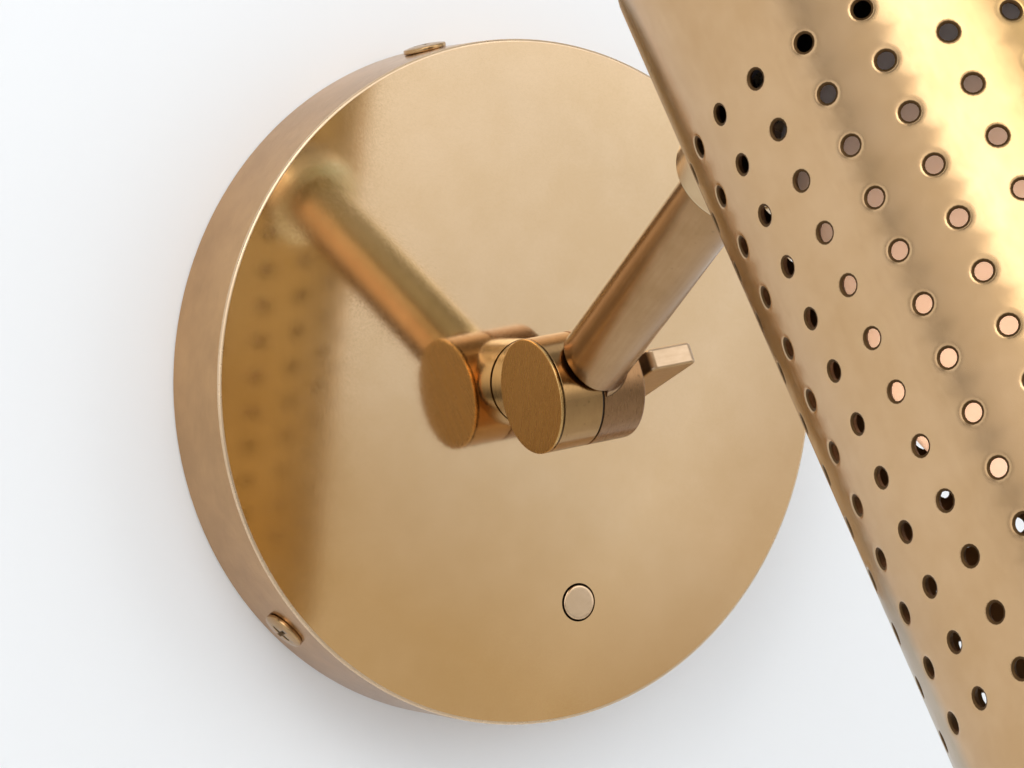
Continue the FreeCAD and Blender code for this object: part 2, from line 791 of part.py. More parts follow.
def make_socket_body():
    """Stepped round lamp holder, open at the lower end."""
    top = socket_top()
    neck_end = top - socket_neck_length
    upper = rod(socket_neck_diameter / 2, V(0, top, shade_axis), OUT, socket_length)
    lower = rod(socket_diameter / 2, V(0, neck_end, shade_axis), OUT, socket_length - socket_neck_length)
    body = upper.fuse(lower).removeSplitter()
    cavity = rod(shell_diameter / 2 + shell_wall, V(0, neck_end - socket_top_wall, shade_axis), OUT, socket_length)
    body = body.cut(cavity)
    body = body.cut(rod(socket_nipple_diameter / 2 + running_fit, V(0, top + overrun, shade_axis), OUT,
                        socket_length))
    return on_arm(shade_place(body))


def make_socket_nipple():
    """Hollow stud that joins lamp holder and bracket."""
    top = bracket_shelf_above_arm + bracket_strip + seat_gap + socket_nut_height
    bottom = socket_top() - socket_neck_length - socket_top_wall
    start = V(0, top, shade_axis)
    stud = ring(socket_nipple_diameter / 2, socket_nipple_bore / 2, start, OUT, top - bottom)
    return on_arm(shade_place(stud))


def make_socket_nut():
    """Nut above the bracket's shelf."""
    start = V(0, bracket_shelf_above_arm + bracket_strip + seat_gap, shade_axis)
    return on_arm(shade_place(nut(socket_nut_width, socket_nipple_diameter / 2 + running_fit, start, Y,
                                  socket_nut_height)))


def shell_top():
    """Distance above the arm of the screw shell's closed end."""
    return socket_top() - socket_neck_length - socket_top_wall - seat_gap


def make_socket_shell():
    """Thin metal screw shell inside the lamp holder."""
    outer = shell_diameter / 2 + shell_wall - seat_gap
    start = V(0, shell_top(), shade_axis)
    shell = ring(outer, shell_diameter / 2, start, OUT, shell_length)
    floor = ring(outer, contact_diameter / 2 + face_gap, start, OUT, shell_wall)
    return on_arm(shade_place(shell.fuse(floor).removeSplitter()))


def make_socket_contact():
    """Centre contact on the end of the holder's stud."""
    start = V(0, shell_top(), shade_axis)
    return on_arm(shade_place(rod(contact_diameter / 2, start, OUT, contact_height)))


def base_top():
    """Distance above the arm of the bulb's contact tip."""
    return shell_top() - contact_height - seat_gap


def make_bulb_tip():
    """Insulated tip of the bulb's base."""
    start = V(0, base_top(), shade_axis)
    return on_arm(shade_place(rod(bulb_tip_diameter / 2, start, OUT, bulb_tip_height)))


def make_bulb_base():
    """Threaded cup of the bulb, drawn as its plain envelope."""
    top = base_top() - bulb_tip_height
    outer = bulb_base_diameter / 2
    start = V(0, top, shade_axis)
    cup = rod(outer, start, OUT, bulb_base_length)
    cup = cup.cut(rod(outer - bulb_base_wall, start + OUT * bulb_base_wall, OUT, bulb_base_length))
    return on_arm(shade_place(cup))


def shoulder_top():
    """Distance above the arm of the flat upper end of the bulb's glass."""
    return socket_top() - socket_length - bulb_shoulder_gap


def make_bulb_solid(inset):
    """Closed tube with a flat upper end and a half-round lower end, at an inset from the glass's outside."""
    reach = bulb_diameter / 2 - inset
    soft = bulb_shoulder_round - inset
    top = shoulder_top() - inset
    centre = shoulder_top() - bulb_glass_length + bulb_diameter / 2

    def at(radius, height):
        return V(radius, height, shade_axis)

    diagonal = reach / math.sqrt(2)
    turn_in = soft * (1 - 1 / math.sqrt(2))
    corner = Part.Arc(at(reach - soft, top), at(reach - turn_in, top - turn_in), at(reach, top - soft))
    dome = Part.Arc(at(reach, centre), at(diagonal, centre - diagonal), at(0, centre - reach))
    edges = [Part.LineSegment(at(0, top), at(reach - soft, top)).toShape(), corner.toShape(),
             Part.LineSegment(at(reach, top - soft), at(reach, centre)).toShape(), dome.toShape(),
             Part.LineSegment(at(0, centre - reach), at(0, top)).toShape()]
    face = Part.Face(Part.Wire(edges))
    return face.revolve(V(0, 0, shade_axis), Y, 360)


def make_bulb_glass():
    """Pale glass of a tube-shaped bulb, hollow, with a round hole in its flat end for the base."""
    glass = make_bulb_solid(0).cut(make_bulb_solid(bulb_glass_wall))
    start = V(0, shoulder_top() + overrun, shade_axis)
    hole = rod(bulb_base_diameter / 2 + running_fit, start, OUT, bulb_glass_wall + 2 * overrun)
    return on_arm(shade_place(glass.cut(hole)))


def make_shade_shell():
    """Perforated cylinder, open at both ends, with the hole for the nipple."""
    top = V(0, shade_above_arm, shade_axis)
    shell = ring(shade_radius, shade_inner_radius, top, OUT, shade_above_arm + shade_below_arm)
    drills = []
    for ring_index in range(hole_rings):
        below = first_ring + ring_pitch * ring_index
        for column in range(holes_round):
            turn = math.radians(360 / holes_round * column)
            direction = V(math.sin(turn), 0, -math.cos(turn))
            start = V(0, -below, shade_axis) + direction * (shade_inner_radius - overrun)
            drills.append(rod(hole_diameter / 2, start, direction, shade_wall + 2 * overrun))
    shell = shell.cut(Part.makeCompound(drills))
    pivot = rod(nipple_diameter / 2 + face_gap, Z * (shade_skin - overrun), Z, shade_wall + 2 * overrun)
    shell = shell.cut(pivot)
    return on_arm(shade_place(shell))


def make_shade_cap():
    """Cup-shaped end that closes the top of the shade."""
    outer = shade_inner_radius - running_fit
    top = V(0, shade_above_arm, shade_axis)
    cap = rod(outer, top, OUT, cap_skirt)
    cap = cap.cut(rod(outer - cap_plate, top + OUT * cap_plate, OUT, cap_skirt))
    return on_arm(shade_place(cap))


PIECES = {
    "wall_bracket": make_wall_bracket,
    "canopy_cover": make_canopy_cover,
    "canopy_screws": make_canopy_screws,
    "ground_screw": make_ground_screw,
    "terminal_block": make_terminal_block,
    "terminal_screws": make_terminal_screws,
    "switch_body": make_switch_body,
    "switch_lugs": make_switch_lugs,
    "switch_studs": make_switch_studs,
    "switch_nuts": make_switch_nuts,
    "stop_pin": make_stop_pin,
    "swivel_washer": make_swivel_washer,
    "inner_washer": make_inner_washer,
    "push_button": make_push_button,
    "button_spring": make_button_spring,
    "swivel_neck": make_swivel_neck,
    "stop_washer": make_stop_washer,
    "neck_nut": make_neck_nut,
    "knuckle_cap": make_knuckle_cap,
    "knuckle_washer": make_knuckle_washer,
    "paddle_screw": make_paddle_screw,
    "paddle_washer": make_paddle_washer,
    "arm_knuckle": make_arm_knuckle,
    "arm_tube": make_arm_tube,
    "arm_flange": make_arm_flange,
    "seam_washer": make_seam_washer,
    "shade_boss": make_shade_boss,
    "swivel_nipple": make_swivel_nipple,
    "retaining_nut": make_retaining_nut,
    "saddle_washer": make_saddle_washer,
    "shade_nut": make_shade_nut,
    "shade_shell": make_shade_shell,
    "shade_cap": make_shade_cap,
    "socket_bracket": make_socket_bracket,
    "socket_nipple": make_socket_nipple,
    "socket_nut": make_socket_nut,
    "socket_body": make_socket_body,
    "socket_shell": make_socket_shell,
    "socket_contact": make_socket_contact,
    "bulb_base": make_bulb_base,
    "bulb_tip": make_bulb_tip,
    "bulb_glass": make_bulb_glass,
}

os.makedirs("parts", exist_ok=True)
for name, make in PIECES.items():
    shape = make()
    shape.exportStep(os.path.join("parts", name + ".step"))
    print(name, "solids", len(shape.Solids), "volume", round(shape.Volume, 1), "valid", shape.isValid())
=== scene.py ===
# %% [markdown]
# # A brass wall sconce
#
# This lesson dresses a wall lamp: a round spun canopy, a short neck, a split knuckle that a flat thumb screw
# clamps, a straight arm and a perforated tube for a shade. The lamp's working solids are loaded first. Each
# part that shows is then made again with rounded edges and a brushed finish, in the same place and on the
# same moving body.

# %% Load the working solids
import math

import bmesh
import bpy
from mathutils import Matrix, Vector


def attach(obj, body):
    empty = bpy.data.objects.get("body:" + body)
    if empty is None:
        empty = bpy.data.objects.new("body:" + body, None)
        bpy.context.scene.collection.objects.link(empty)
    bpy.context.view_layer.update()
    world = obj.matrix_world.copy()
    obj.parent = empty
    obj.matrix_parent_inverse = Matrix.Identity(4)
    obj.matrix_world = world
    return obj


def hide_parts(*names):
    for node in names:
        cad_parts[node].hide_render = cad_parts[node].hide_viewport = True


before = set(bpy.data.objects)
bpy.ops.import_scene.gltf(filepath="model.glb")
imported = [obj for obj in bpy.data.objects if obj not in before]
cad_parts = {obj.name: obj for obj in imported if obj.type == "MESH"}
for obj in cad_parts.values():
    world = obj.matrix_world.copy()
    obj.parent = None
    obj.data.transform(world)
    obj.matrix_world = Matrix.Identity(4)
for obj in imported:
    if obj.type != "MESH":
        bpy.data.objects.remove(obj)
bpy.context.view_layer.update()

# %% [markdown]
# Real sizes come before any shape. All of them are in millimetres, and one factor turns them into Blender's
# metres, so that a size can be read against a drawing of the lamp.

# %% Sizes of the lamp
MM = 0.001
canopy_radius = 63.5
canopy_depth = 19.0
canopy_wall = 1.2
button_offset = 42.6
knuckle_out = 34.5
knuckle_drop = 1.0
barrel_radius = 10.5
split_half = 0.2
arm_reach = 69.7
shade_skin = 87.2
shade_radius = 37.5
shade_wall = 1.2
shade_axis = shade_skin + shade_radius
swivel_angle = 5.7
arm_angle = 31.6
shade_lean = 3.2
print("the shade's axis crosses the arm", shade_axis, "mm from the knuckle")

# %% [markdown]
# Every joint of the lamp has its own frame, and a piece is easiest to draw in the frame of the joint that
# carries it. The neck is turned a little about the canopy's axis, the arm is lifted about the knuckle, and
# the shade leans on the arm. Multiplying the turns gives one matrix per frame. A finished mesh is moved by
# its matrix, so that its object can stay at the origin.

# %% Frames of the joints


def shift(x, y, z):
    """Matrix that moves by millimetres."""
    return Matrix.Translation((x * MM, y * MM, z * MM))


def turn(degrees, axis):
    """Matrix that turns about an axis through the origin."""
    return Matrix.Rotation(math.radians(degrees), 4, axis)


at_wall = Matrix.Identity(4)
at_neck = turn(swivel_angle, "Y")
at_knuckle = at_neck @ shift(0, -knuckle_out, -knuckle_drop)
at_arm = at_knuckle @ turn(90 - arm_angle, "X")
at_skin = at_arm @ shift(0, 0, shade_skin) @ turn(shade_lean, "X")
at_shade = at_skin @ shift(0, 0, shade_radius)
along_x = turn(90, "Y")
out_of_wall = turn(90, "X")
in_canopy = at_wall @ out_of_wall
in_neck = at_neck @ out_of_wall
in_barrel = at_knuckle @ along_x
in_shade = at_shade @ out_of_wall
in_button = shift(0, 0, -button_offset) @ out_of_wall
print("arm points along", [round(v, 3) for v in at_arm.col[2][:3]])

# %% [markdown]
# The camera is where the photograph was taken from: about 68 cm away, 29 degrees to the lamp's left and 8
# degrees above it, through a long lens. The lamp hangs a little turned against the picture's upright, so the
# camera is rolled.

# %% Camera
camera_yaw = 29.26
camera_pitch = 8.17
camera_roll = -12.77
camera_distance = 683.0
camera_right = 6.18
camera_up = -2.0
focal_pixels = 3600.0
picture_width = 1024


def make_camera():
    """Camera at the photograph's place: turned aside, tipped down, moved back and rolled."""
    data = bpy.data.cameras.new("camera")
    data.sensor_width = 36.0
    data.lens = data.sensor_width * focal_pixels / picture_width
    data.clip_start = 0.01
    camera = bpy.data.objects.new("camera", data)
    aim = turn(-camera_yaw, "Z") @ turn(90 - camera_pitch, "X")
    camera.matrix_world = aim @ shift(camera_right, camera_up, camera_distance) @ turn(camera_roll, "Z")
    bpy.context.scene.collection.objects.link(camera)
    bpy.context.scene.camera = camera
    return camera


print("lens", round(make_camera().data.lens, 1), "mm")

# %% [markdown]
# Two kinds of work come back in every cell: a mesh becomes an object, and a graph of nodes describes a finish
# or a light. A node is filled in one line: a name that it has as a setting is set, and any other name is an
# input, which gets a value or a link. Kinds of shader nodes are given without their common first word.

# %% Helpers: pieces and nodes


def made_piece(name, bm, place=at_wall):
    """Object at the origin from a bmesh, with its points moved to their place."""
    mesh = bpy.data.meshes.new(name)
    bm.to_mesh(mesh)
    bm.free()
    mesh.transform(place)
    piece = bpy.data.objects.new(name, mesh)
    bpy.context.scene.collection.objects.link(piece)
    return piece


def fill(node, **settings):
    """Sets a node's settings and fixed inputs, and links its other inputs."""
    for key, value in settings.items():
        name = key.replace("_", " ")
        if hasattr(node, key):
            setattr(node, key, value)
        elif isinstance(value, bpy.types.NodeSocket):
            node.id_data.links.new(value, node.inputs[name])
        else:
            node.inputs[name].default_value = value
    return node


def add(tree, kind, **settings):
    """New node, filled in."""
    return fill(tree.nodes.new(kind if "Node" in kind else "ShaderNode" + kind), **settings)


def calculated(tree, operation, first, second=0.0):
    """Result of one sum on sockets or numbers."""
    node = add(tree, "Math", operation=operation)
    for socket, value in zip(node.inputs, (first, second)):
        if isinstance(value, bpy.types.NodeSocket):
            tree.links.new(value, socket)
        else:
            socket.default_value = value
    return node.outputs[0]


def times(tree, first, second):
    """Product of two sockets or numbers."""
    return calculated(tree, "MULTIPLY", first, second)


def weighed(tree, first, second, share):
    """Sum of two values of which the second has the given share."""
    return calculated(tree, "ADD", times(tree, first, 1 - share), times(tree, second, share))


def new_finish(name):
    """Material with its tree and its main shader."""
    material = bpy.data.materials.new(name)
    material.use_nodes = True
    return material, material.node_tree, material.node_tree.nodes["Principled BSDF"]


# %% [markdown]
# The lamp hangs on a white wall. The wall is one sheet that shows only from the room's side, so that the
# lamp's back can be looked at too. Behind the canopy it has a round opening, as over a wall box, that lets
# light reach the canopy's inside. The floor is far below, out of the picture.

# %% Wall and floor
wall_back = 0.4
box_opening = 62.6
room_half, room_front, room_back = 3.0, -4.0, 3.0
room_floor, room_top = -1.3, 2.0


def plain_paint(name, colour):
    """Matt paint."""
    material, tree, shader = new_finish(name)
    fill(shader, Base_Color=(*colour, 1), Roughness=0.9)
    return material


def one_sided(material):
    """Lets a sheet show only from the side that its faces point to."""
    tree = material.node_tree
    mix = add(tree, "MixShader")
    tree.links.new(add(tree, "NewGeometry").outputs["Backfacing"], mix.inputs[0])
    tree.links.new(tree.nodes["Principled BSDF"].outputs[0], mix.inputs[1])
    tree.links.new(add(tree, "BsdfTransparent").outputs[0], mix.inputs[2])
    tree.links.new(mix.outputs[0], tree.nodes["Material Output"].inputs[0])


def sheet_of(name, material, place, low, high, opening=0.0):
    """Flat sheet, in metres, that faces its own Z axis, perhaps with a round opening about it."""
    bm = bmesh.new()
    corners = ((-room_half, low), (room_half, low), (room_half, high), (-room_half, high))
    outline = [bm.verts.new((x, y, 0)) for x, y in corners]
    for first, second in zip(outline, outline[1:] + outline[:1]):
        bm.edges.new((first, second))
    if opening:
        bmesh.ops.create_circle(bm, segments=96, radius=opening * MM)
    bmesh.ops.triangle_fill(bm, edges=bm.edges[:])
    bm.normal_update()
    for face in bm.faces:
        if face.normal.z < 0:
            face.normal_flip()
    sheet = made_piece(name, bm, place)
    sheet.data.materials.append(material)
    print(name, "has", len(sheet.data.polygons), "faces")


wall_paint = plain_paint("wall_paint", (0.925, 0.94, 0.955))
one_sided(wall_paint)
sheet_of("wall", wall_paint, shift(0, wall_back, 0) @ out_of_wall, room_floor, room_top, box_opening)
sheet_of("floor", plain_paint("floor_paint", (0.78, 0.78, 0.77)), shift(0, 0, room_floor / MM), room_front,
         room_back)

# %% [markdown]
# Polished brass shows the room more than its own colour, so the light is mostly the room: soft patches, each
# a direction with a width and a strength, placed where the canopy and the tube mirror something bright. The
# last patch is behind the wall. One wide panel adds a gentle shadow.

# %% Light
room_light = 0.02
glows = [(28, 24, 34, 1.5), (55, 24, 34, 0.25), (0, 24, 34, 0.5), (-28, 24, 34, 0.65), (-55, 24, 34, 1.05),
         (-88, 24, 34, 0.35), (60, 58, 48, 0.2), (0, 84, 45, 0.5), (-88, -6, 30, 0.65), (-55, -6, 30, 0.35),
         (0, -6, 30, 0.5), (28, -6, 30, 0.45), (55, -6, 30, 0.8), (88, -6, 30, 0.45), (-60, -38, 40, 0.72),
         (60, -38, 40, 0.4), (180, 5, 70, 0.6)]


def glow(tree, side, height, width, brightness):
    """Soft patch of light: degrees to the right of straight out, degrees up, its width and its strength."""
    side, height = math.radians(side), math.radians(height)
    along = add(tree, "VectorMath", operation="DOT_PRODUCT",
                Vector=add(tree, "TexCoord").outputs["Generated"])
    along.inputs[1].default_value = (math.sin(side) * math.cos(height), -math.cos(side) * math.cos(height),
                                     math.sin(height))
    patch = add(tree, "MapRange", interpolation_type="SMOOTHSTEP", Value=along.outputs["Value"],
                From_Min=math.cos(math.radians(width)), From_Max=1.0, To_Max=brightness)
    return patch.outputs["Result"]


world = bpy.data.worlds.new("room")
bpy.context.scene.world = world
world.use_nodes = True
level = room_light
for patch in glows:
    level = calculated(world.node_tree, "ADD", glow(world.node_tree, *patch), level)
fill(world.node_tree.nodes["Background"], Strength=level, Color=(0.97, 0.985, 1.0, 1))
panel = bpy.data.lights.new("key_panel", "AREA")
panel.shape = "RECTANGLE"
panel.size, panel.size_y = 1.3, 1.0
panel.energy = 12
light = bpy.data.objects.new("key_panel", panel)
light.location = (-0.5, -1.3, 1.5)
light.rotation_euler = (-light.location).to_track_quat("-Z", "Y").to_euler()
bpy.context.scene.collection.objects.link(light)
bpy.context.scene.view_settings.view_transform = "Standard"
print("glows:", len(glows))

# %% [markdown]
# Most of the lamp was turned on a lathe. A turned piece needs only half of its outline: pairs of radius and
# height with, at each corner, how far the corner is rounded. The helper rounds the corners with short arcs
# and spins the outline about the piece's own axis. Weighted normals then keep the flats flat beside the
# small rounds.

# %% Helper: turned pieces


def rounded_outline(corners, steps=4):
    """Outline of corners (radius, height) with an arc at each one that has a rounding as its third value."""
    outline = []
    count = len(corners)
    for index, (r, h, *soft) in enumerate(corners):
        here = Vector((r, h))
        before = Vector(corners[index - 1][:2]) - here
        after = Vector(corners[(index + 1) % count][:2]) - here
        if not soft or before.length == 0 or after.length == 0:
            outline.append(here)
            continue
        before.normalize()
        after.normalize()
        half = before.angle(after) / 2
        reach = soft[0] / math.tan(half)
        centre = here + (before + after).normalized() * (soft[0] / math.sin(half))
        first = here + before * reach - centre
        sweep = first.angle_signed(here + after * reach - centre)
        for step in range(steps + 1):
            outline.append(centre + Matrix.Rotation(-sweep * step / steps, 2) @ first)
    return outline


def levelled(piece, facing):
    """Gives every flat face that looks one way exactly that normal, so that no hole leaves a streak."""
    mesh = piece.data
    normals = [corner.vector.copy() for corner in mesh.corner_normals]
    for face in mesh.polygons:
        if face.normal.dot(facing) > 0.99995:
            for corner in face.loop_indices:
                normals[corner] = Vector(facing)
    mesh.normals_split_custom_set(normals)


def made_plain(piece):
    """Replaces a piece's mesh by its evaluated mesh and drops the modifiers."""
    graph = bpy.context.evaluated_depsgraph_get()
    mesh = bpy.data.meshes.new_from_object(piece.evaluated_get(graph))
    old = piece.data
    piece.modifiers.clear()
    piece.data = mesh
    bpy.data.meshes.remove(old)
    return piece


def smooth_flats(piece):
    """Smooth shading that keeps large faces flat, made permanent."""
    piece.data.polygons.foreach_set("use_smooth", [True] * len(piece.data.polygons))
    modifier = piece.modifiers.new("flats", "WEIGHTED_NORMAL")
    modifier.weight = 80
    return made_plain(piece)


def bridged(bm, rings):
    """Joins each ring of points to the next one by faces. A ring of one point is a pole."""
    for low, high in zip(rings, rings[1:]):
        count = max(len(low), len(high))
        for step in range(count if count > 1 else 0):
            follow = (step + 1) % count
            corners = (low[step % len(low)], low[follow % len(low)],
                       high[follow % len(high)], high[step % len(high)])
            bm.faces.new(list(dict.fromkeys(corners)))


def spin(bm, outline, segments, closed=True):
    """Adds the surface of a turned outline about Z, in millimetres."""
    rings = []
    for r, h in outline:
        angles = [2 * math.pi * step / segments for step in range(segments if r > 1e-6 else 1)]
        rings.append([bm.verts.new((r * MM * math.cos(a), r * MM * math.sin(a), h * MM)) for a in angles])
    bridged(bm, rings + rings[:1] if closed else rings)


def turned(name, shells, place, segments=96, drill=None):
    """Turned piece from outlines of rounded corners, put in its joint's frame and perhaps drilled."""
    bm = bmesh.new()
    for corners in shells:
        spin(bm, rounded_outline(corners), segments)
    bmesh.ops.recalc_face_normals(bm, faces=bm.faces)
    piece = made_piece(name, bm, place)
    if drill:
        cut = piece.modifiers.new("drilled", "BOOLEAN")
        cut.operation = "DIFFERENCE"
        cut.object = drill
        made_plain(piece)
        bpy.data.objects.remove(drill)
    return smooth_flats(piece)


print("outline of a disc:", len(rounded_outline([(0, 0), (4, 0, 0.5), (4, 1, 0.5), (0, 1)])), "points")

# %% [markdown]
# Brass is one metal, but each part of the lamp wears its own finish: the canopy's face is nearly a mirror,
# the tube is browner and streaked, and the cap shows its sanding. One builder makes them all, in the piece's
# own frame, so that the streaks follow the piece. It mixes wide clouds of tone, fine grain along the brushing
# and a few dark specks. A tint shifts the colour slowly along one axis: painted light and shade, making a
# side darker, paler or warmer as light falls on it and as it is mirrored. Below a given distance from the
# axis the colour turns dark brown and the metal rougher: painted shade in seams, bores and the walls of
# holes.

# %% Helpers: brass finishes
# Painted shade: the dark brown of seams, bores and holes, and the millimetres over which it fades in.
painted_shade_brown = (0.10, 0.05, 0.015)
painted_shade_fade = 0.05
untinted = (1.0, 1.0, 1.0)


def stretched_noise(tree, source, scale, stretch=(1, 1, 1), detail=3.0, roughness=0.55):
    """Noise in a piece's frame, squeezed or drawn out along each axis."""
    mapping = add(tree, "Mapping", Vector=source, Scale=stretch)
    noise = add(tree, "TexNoise", Vector=mapping.outputs[0], Scale=scale, Detail=detail,
                Roughness=roughness)
    return noise.outputs["Fac"]


def spread(tree, value, low, high, out_low=0.0, out_high=1.0):
    """Stretches a middle band of a value over a new range."""
    return add(tree, "MapRange", Value=value, From_Min=low, From_Max=high, To_Min=out_low,
               To_Max=out_high).outputs["Result"]


def blended(tree, factor, first, second, kind="MIX"):
    """Mix of two colours, each a socket or a fixed colour."""
    mix = add(tree, "Mix", data_type="RGBA", blend_type=kind)
    for index, value in ((0, factor), (6, first), (7, second)):
        if isinstance(value, bpy.types.NodeSocket):
            tree.links.new(value, mix.inputs[index])
        else:
            mix.inputs[index].default_value = (*value, 1) if index else value
    return mix.outputs[2]


def piece_place(tree, frame_matrix):
    """Coordinates in a piece's own frame."""
    back = frame_matrix.inverted()
    place = add(tree, "TexCoord").outputs["Object"]
    return add(tree, "Mapping", Vector=place, Rotation=back.to_euler("XYZ"),
               Location=back.translation).outputs[0]


def along_axis(tree, local, axis, start, end, low=0.0, high=1.0):
    """Value that goes from low to high between two places, in millimetres, along one axis of the piece."""
    split = add(tree, "SeparateXYZ", Vector=local)
    return spread(tree, split.outputs[axis], start * MM, end * MM, low, high)


def away_from_axis(tree, local):
    """Distance from the Z axis of a piece's frame."""
    flat = add(tree, "VectorMath", operation="MULTIPLY", Vector=local)
    flat.inputs[1].default_value = (1, 1, 0)
    return add(tree, "VectorMath", operation="LENGTH", Vector=flat.outputs[0]).outputs["Value"]


def tinted(tree, colour, local, axis, start, end, low, high):
    """Colour times a tint of painted light and shade, from low to high between two places along one axis."""
    tint = blended(tree, along_axis(tree, local, axis, start, end), low, high)
    return blended(tree, 1.0, colour, tint, "MULTIPLY")


def relief(tree, shader, height, strength, depth):
    """Fine bumps on a finish."""
    bumps = add(tree, "Bump", Strength=strength, Distance=depth, Height=height)
    fill(shader, Normal=bumps.outputs[0])


def brass(name, light, dark, frame_matrix, gloss=(0.16, 0.24), cloud=90, streak=(1, 1, 1), fineness=900,
          bump=0.05, specks=0.0, fine_tone=0.25, painted_shade_below=None, light_and_shade_tints=()):
    """Brass in a piece's frame. A streak above 1 squeezes the grain along that axis, below 1 draws it out."""
    material, tree, shader = new_finish(name)
    fill(shader, Metallic=1.0, IOR=1.5)
    local = piece_place(tree, frame_matrix)
    clouds = stretched_noise(tree, local, cloud, detail=4.0)
    patches = stretched_noise(tree, local, cloud * 6)
    streaks = stretched_noise(tree, local, fineness, streak, detail=2.0, roughness=0.6)
    tone = spread(tree, weighed(tree, clouds, patches, 0.3), 0.38, 0.62)
    tone = weighed(tree, tone, spread(tree, streaks, 0.3, 0.7), fine_tone)
    colour = blended(tree, tone, light, dark)
    shine = spread(tree, weighed(tree, clouds, streaks, 0.6), 0.35, 0.65, *gloss)
    if specks:
        grit = spread(tree, stretched_noise(tree, local, 1500, detail=1.0), 0.68, 0.78)
        colour = blended(tree, times(tree, grit, specks), colour, tuple(c * 0.35 for c in dark))
    # Painted light and shade: each tint darkens, pales or warms one side of the piece.
    for tint in light_and_shade_tints:
        colour = tinted(tree, colour, local, *tint)
    # Painted shade: below the given radius the colour turns dark brown, the metal rougher and less metallic.
    if painted_shade_below:
        unshaded = spread(tree, away_from_axis(tree, local), (painted_shade_below - painted_shade_fade) * MM, painted_shade_below * MM)
        colour = blended(tree, unshaded, painted_shade_brown, colour)
        shine = calculated(tree, "ADD", shine, spread(tree, unshaded, 0, 1, 0.4, 0))
        fill(shader, Metallic=spread(tree, unshaded, 0, 1, 0.8, 1.0))
    fill(shader, Base_Color=colour, Roughness=shine)
    if bump:
        relief(tree, shader, streaks, bump, 0.00003)
    return material


def dressed(piece, material, body, *nodes):
    """Gives a finished piece its material, its body and the solids that it stands for."""
    piece.data.materials.clear()
    piece.data.materials.append(material)
    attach(piece, body)
    if nodes:
        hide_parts(*nodes)
    print(piece.name, "rides on", body, "with", len(piece.data.polygons), "faces")


# The fade of the painted shade in seams, bores and holes, in millimetres.
print("dirt is", painted_shade_fade, "mm deep at a seam's mouth")

# %% [markdown]
# The canopy is a shallow pan, spun from sheet: a flat face, a small round at its edge and a straight side.
# It is spun with a thickness, and a boolean cuts the button's hole. The face is polished, and slow tint
# across it paints the light that it mirrors. The side is darker and browner, partly painted shade, the round
# edge is rubbed bright, and the inside and the button's hole wall are unpolished dark brown, which at the
# hole wall is painted shade of the gap round the button. So each face of the mesh gets one of four materials
# by its place and by the way that it points.

# %% Canopy
canopy_bore = 5.0
edge_round = 0.6
button_hole_radius = 3.6
drill_low, drill_high = 10, 25
round_lean, side_lean = 0.99, 0.15
# Painted light: the face is warmer at the lower left and darker at the upper right and lower right.
face_brass = brass("canopy_brass", (0.88, 0.625, 0.355), (0.80, 0.55, 0.285), in_canopy @ turn(-45, "Z"),
                   gloss=(0.065, 0.13), cloud=24, fineness=2600, fine_tone=0.3,
                   light_and_shade_tints=[("Y", -50, -14, (1.0, 0.86, 0.66), (1.09, 1.08, 1.13)),
                          ("Y", -5, 44, untinted, (0.835, 0.87, 0.94)),
                          ("X", 34, 58, untinted, (0.78, 0.73, 0.66))])
edge_brass = brass("canopy_edge_brass", (0.74, 0.54, 0.35), (0.64, 0.46, 0.29), in_canopy, gloss=(0.24, 0.36),
                   cloud=60, bump=0.0)
# Partly painted shade: the side is darker than the face and darker still towards the bottom.
shaded_side_brass = brass("canopy_side_brass", (0.555, 0.325, 0.138), (0.43, 0.245, 0.10), in_canopy,
                   gloss=(0.17, 0.27), cloud=38, streak=(1, 1, 6), fineness=500, bump=0.0,
                   fine_tone=0.12, light_and_shade_tints=[("Y", -45, 0, (0.9, 0.84, 0.8), untinted)])
# Dark unpolished brass, which on the button's hole wall and the button's sides is painted shade of the gap.
gap_shade_brass = brass("unpolished_gap_shade_brass", (0.07, 0.038, 0.015), (0.035, 0.02, 0.009), at_wall, gloss=(0.5, 0.65),
                   cloud=150, streak=(6, 6, 1))


def make_canopy():
    """Spun pan with the button's hole."""
    inner = canopy_radius - canopy_wall
    back = canopy_depth - canopy_wall
    corners = [(canopy_bore, canopy_depth), (canopy_radius - 2, canopy_depth),
               (canopy_radius, canopy_depth, edge_round), (canopy_radius, 0, 0.2), (inner, 0, 0.2),
               (inner, back, 0.5), (canopy_bore, back)]
    rod = [(0, drill_low), (button_hole_radius, drill_low), (button_hole_radius, drill_high),
           (0, drill_high)]
    drill = turned("button_drill", [rod], in_button, segments=64)
    return turned("canopy", [corners], in_canopy, 192, drill)


canopy = make_canopy()
dressed(canopy, face_brass, "base", "canopy_cover")
for finish in (shaded_side_brass, edge_brass, gap_shade_brass):
    canopy.data.materials.append(finish)
# Faces off the flat face: 1 the side, 2 the round edge, 3 the dark inside and hole wall, painted shade there.
for face in canopy.data.polygons:
    outward = math.hypot(face.center.x, face.center.z) > (canopy_radius - edge_round - 0.02) * MM
    lean = abs(face.normal.y)
    if lean < round_lean:
        face.material_index = 3 if not outward else 1 if lean < side_lean else 2
levelled(canopy, (0, -1, 0))

# %% [markdown]
# The neck is a short round post with a dark washer under it. Towards the room it runs into the left half of
# the barrel. Beside that half it stops short of the right one, which turns past it, so its end is a saddle
# that follows the barrel. It is drawn as rings of points whose height depends on the angle.

# %% Neck
neck_radius = 8.1
neck_bore = 3.0
neck_start = 19.35
neck_overlap = 0.4
saddle_gap = 0.35
ring_shares = [0, 0.004, 0.02, 0.06, 0.3, 0.6, 0.9, 0.98, 1]
neck_brass = brass("neck_brass", (0.58, 0.45, 0.265), (0.50, 0.38, 0.215), in_neck,
                   streak=(1, 1, 8), fineness=300, bump=0.02)


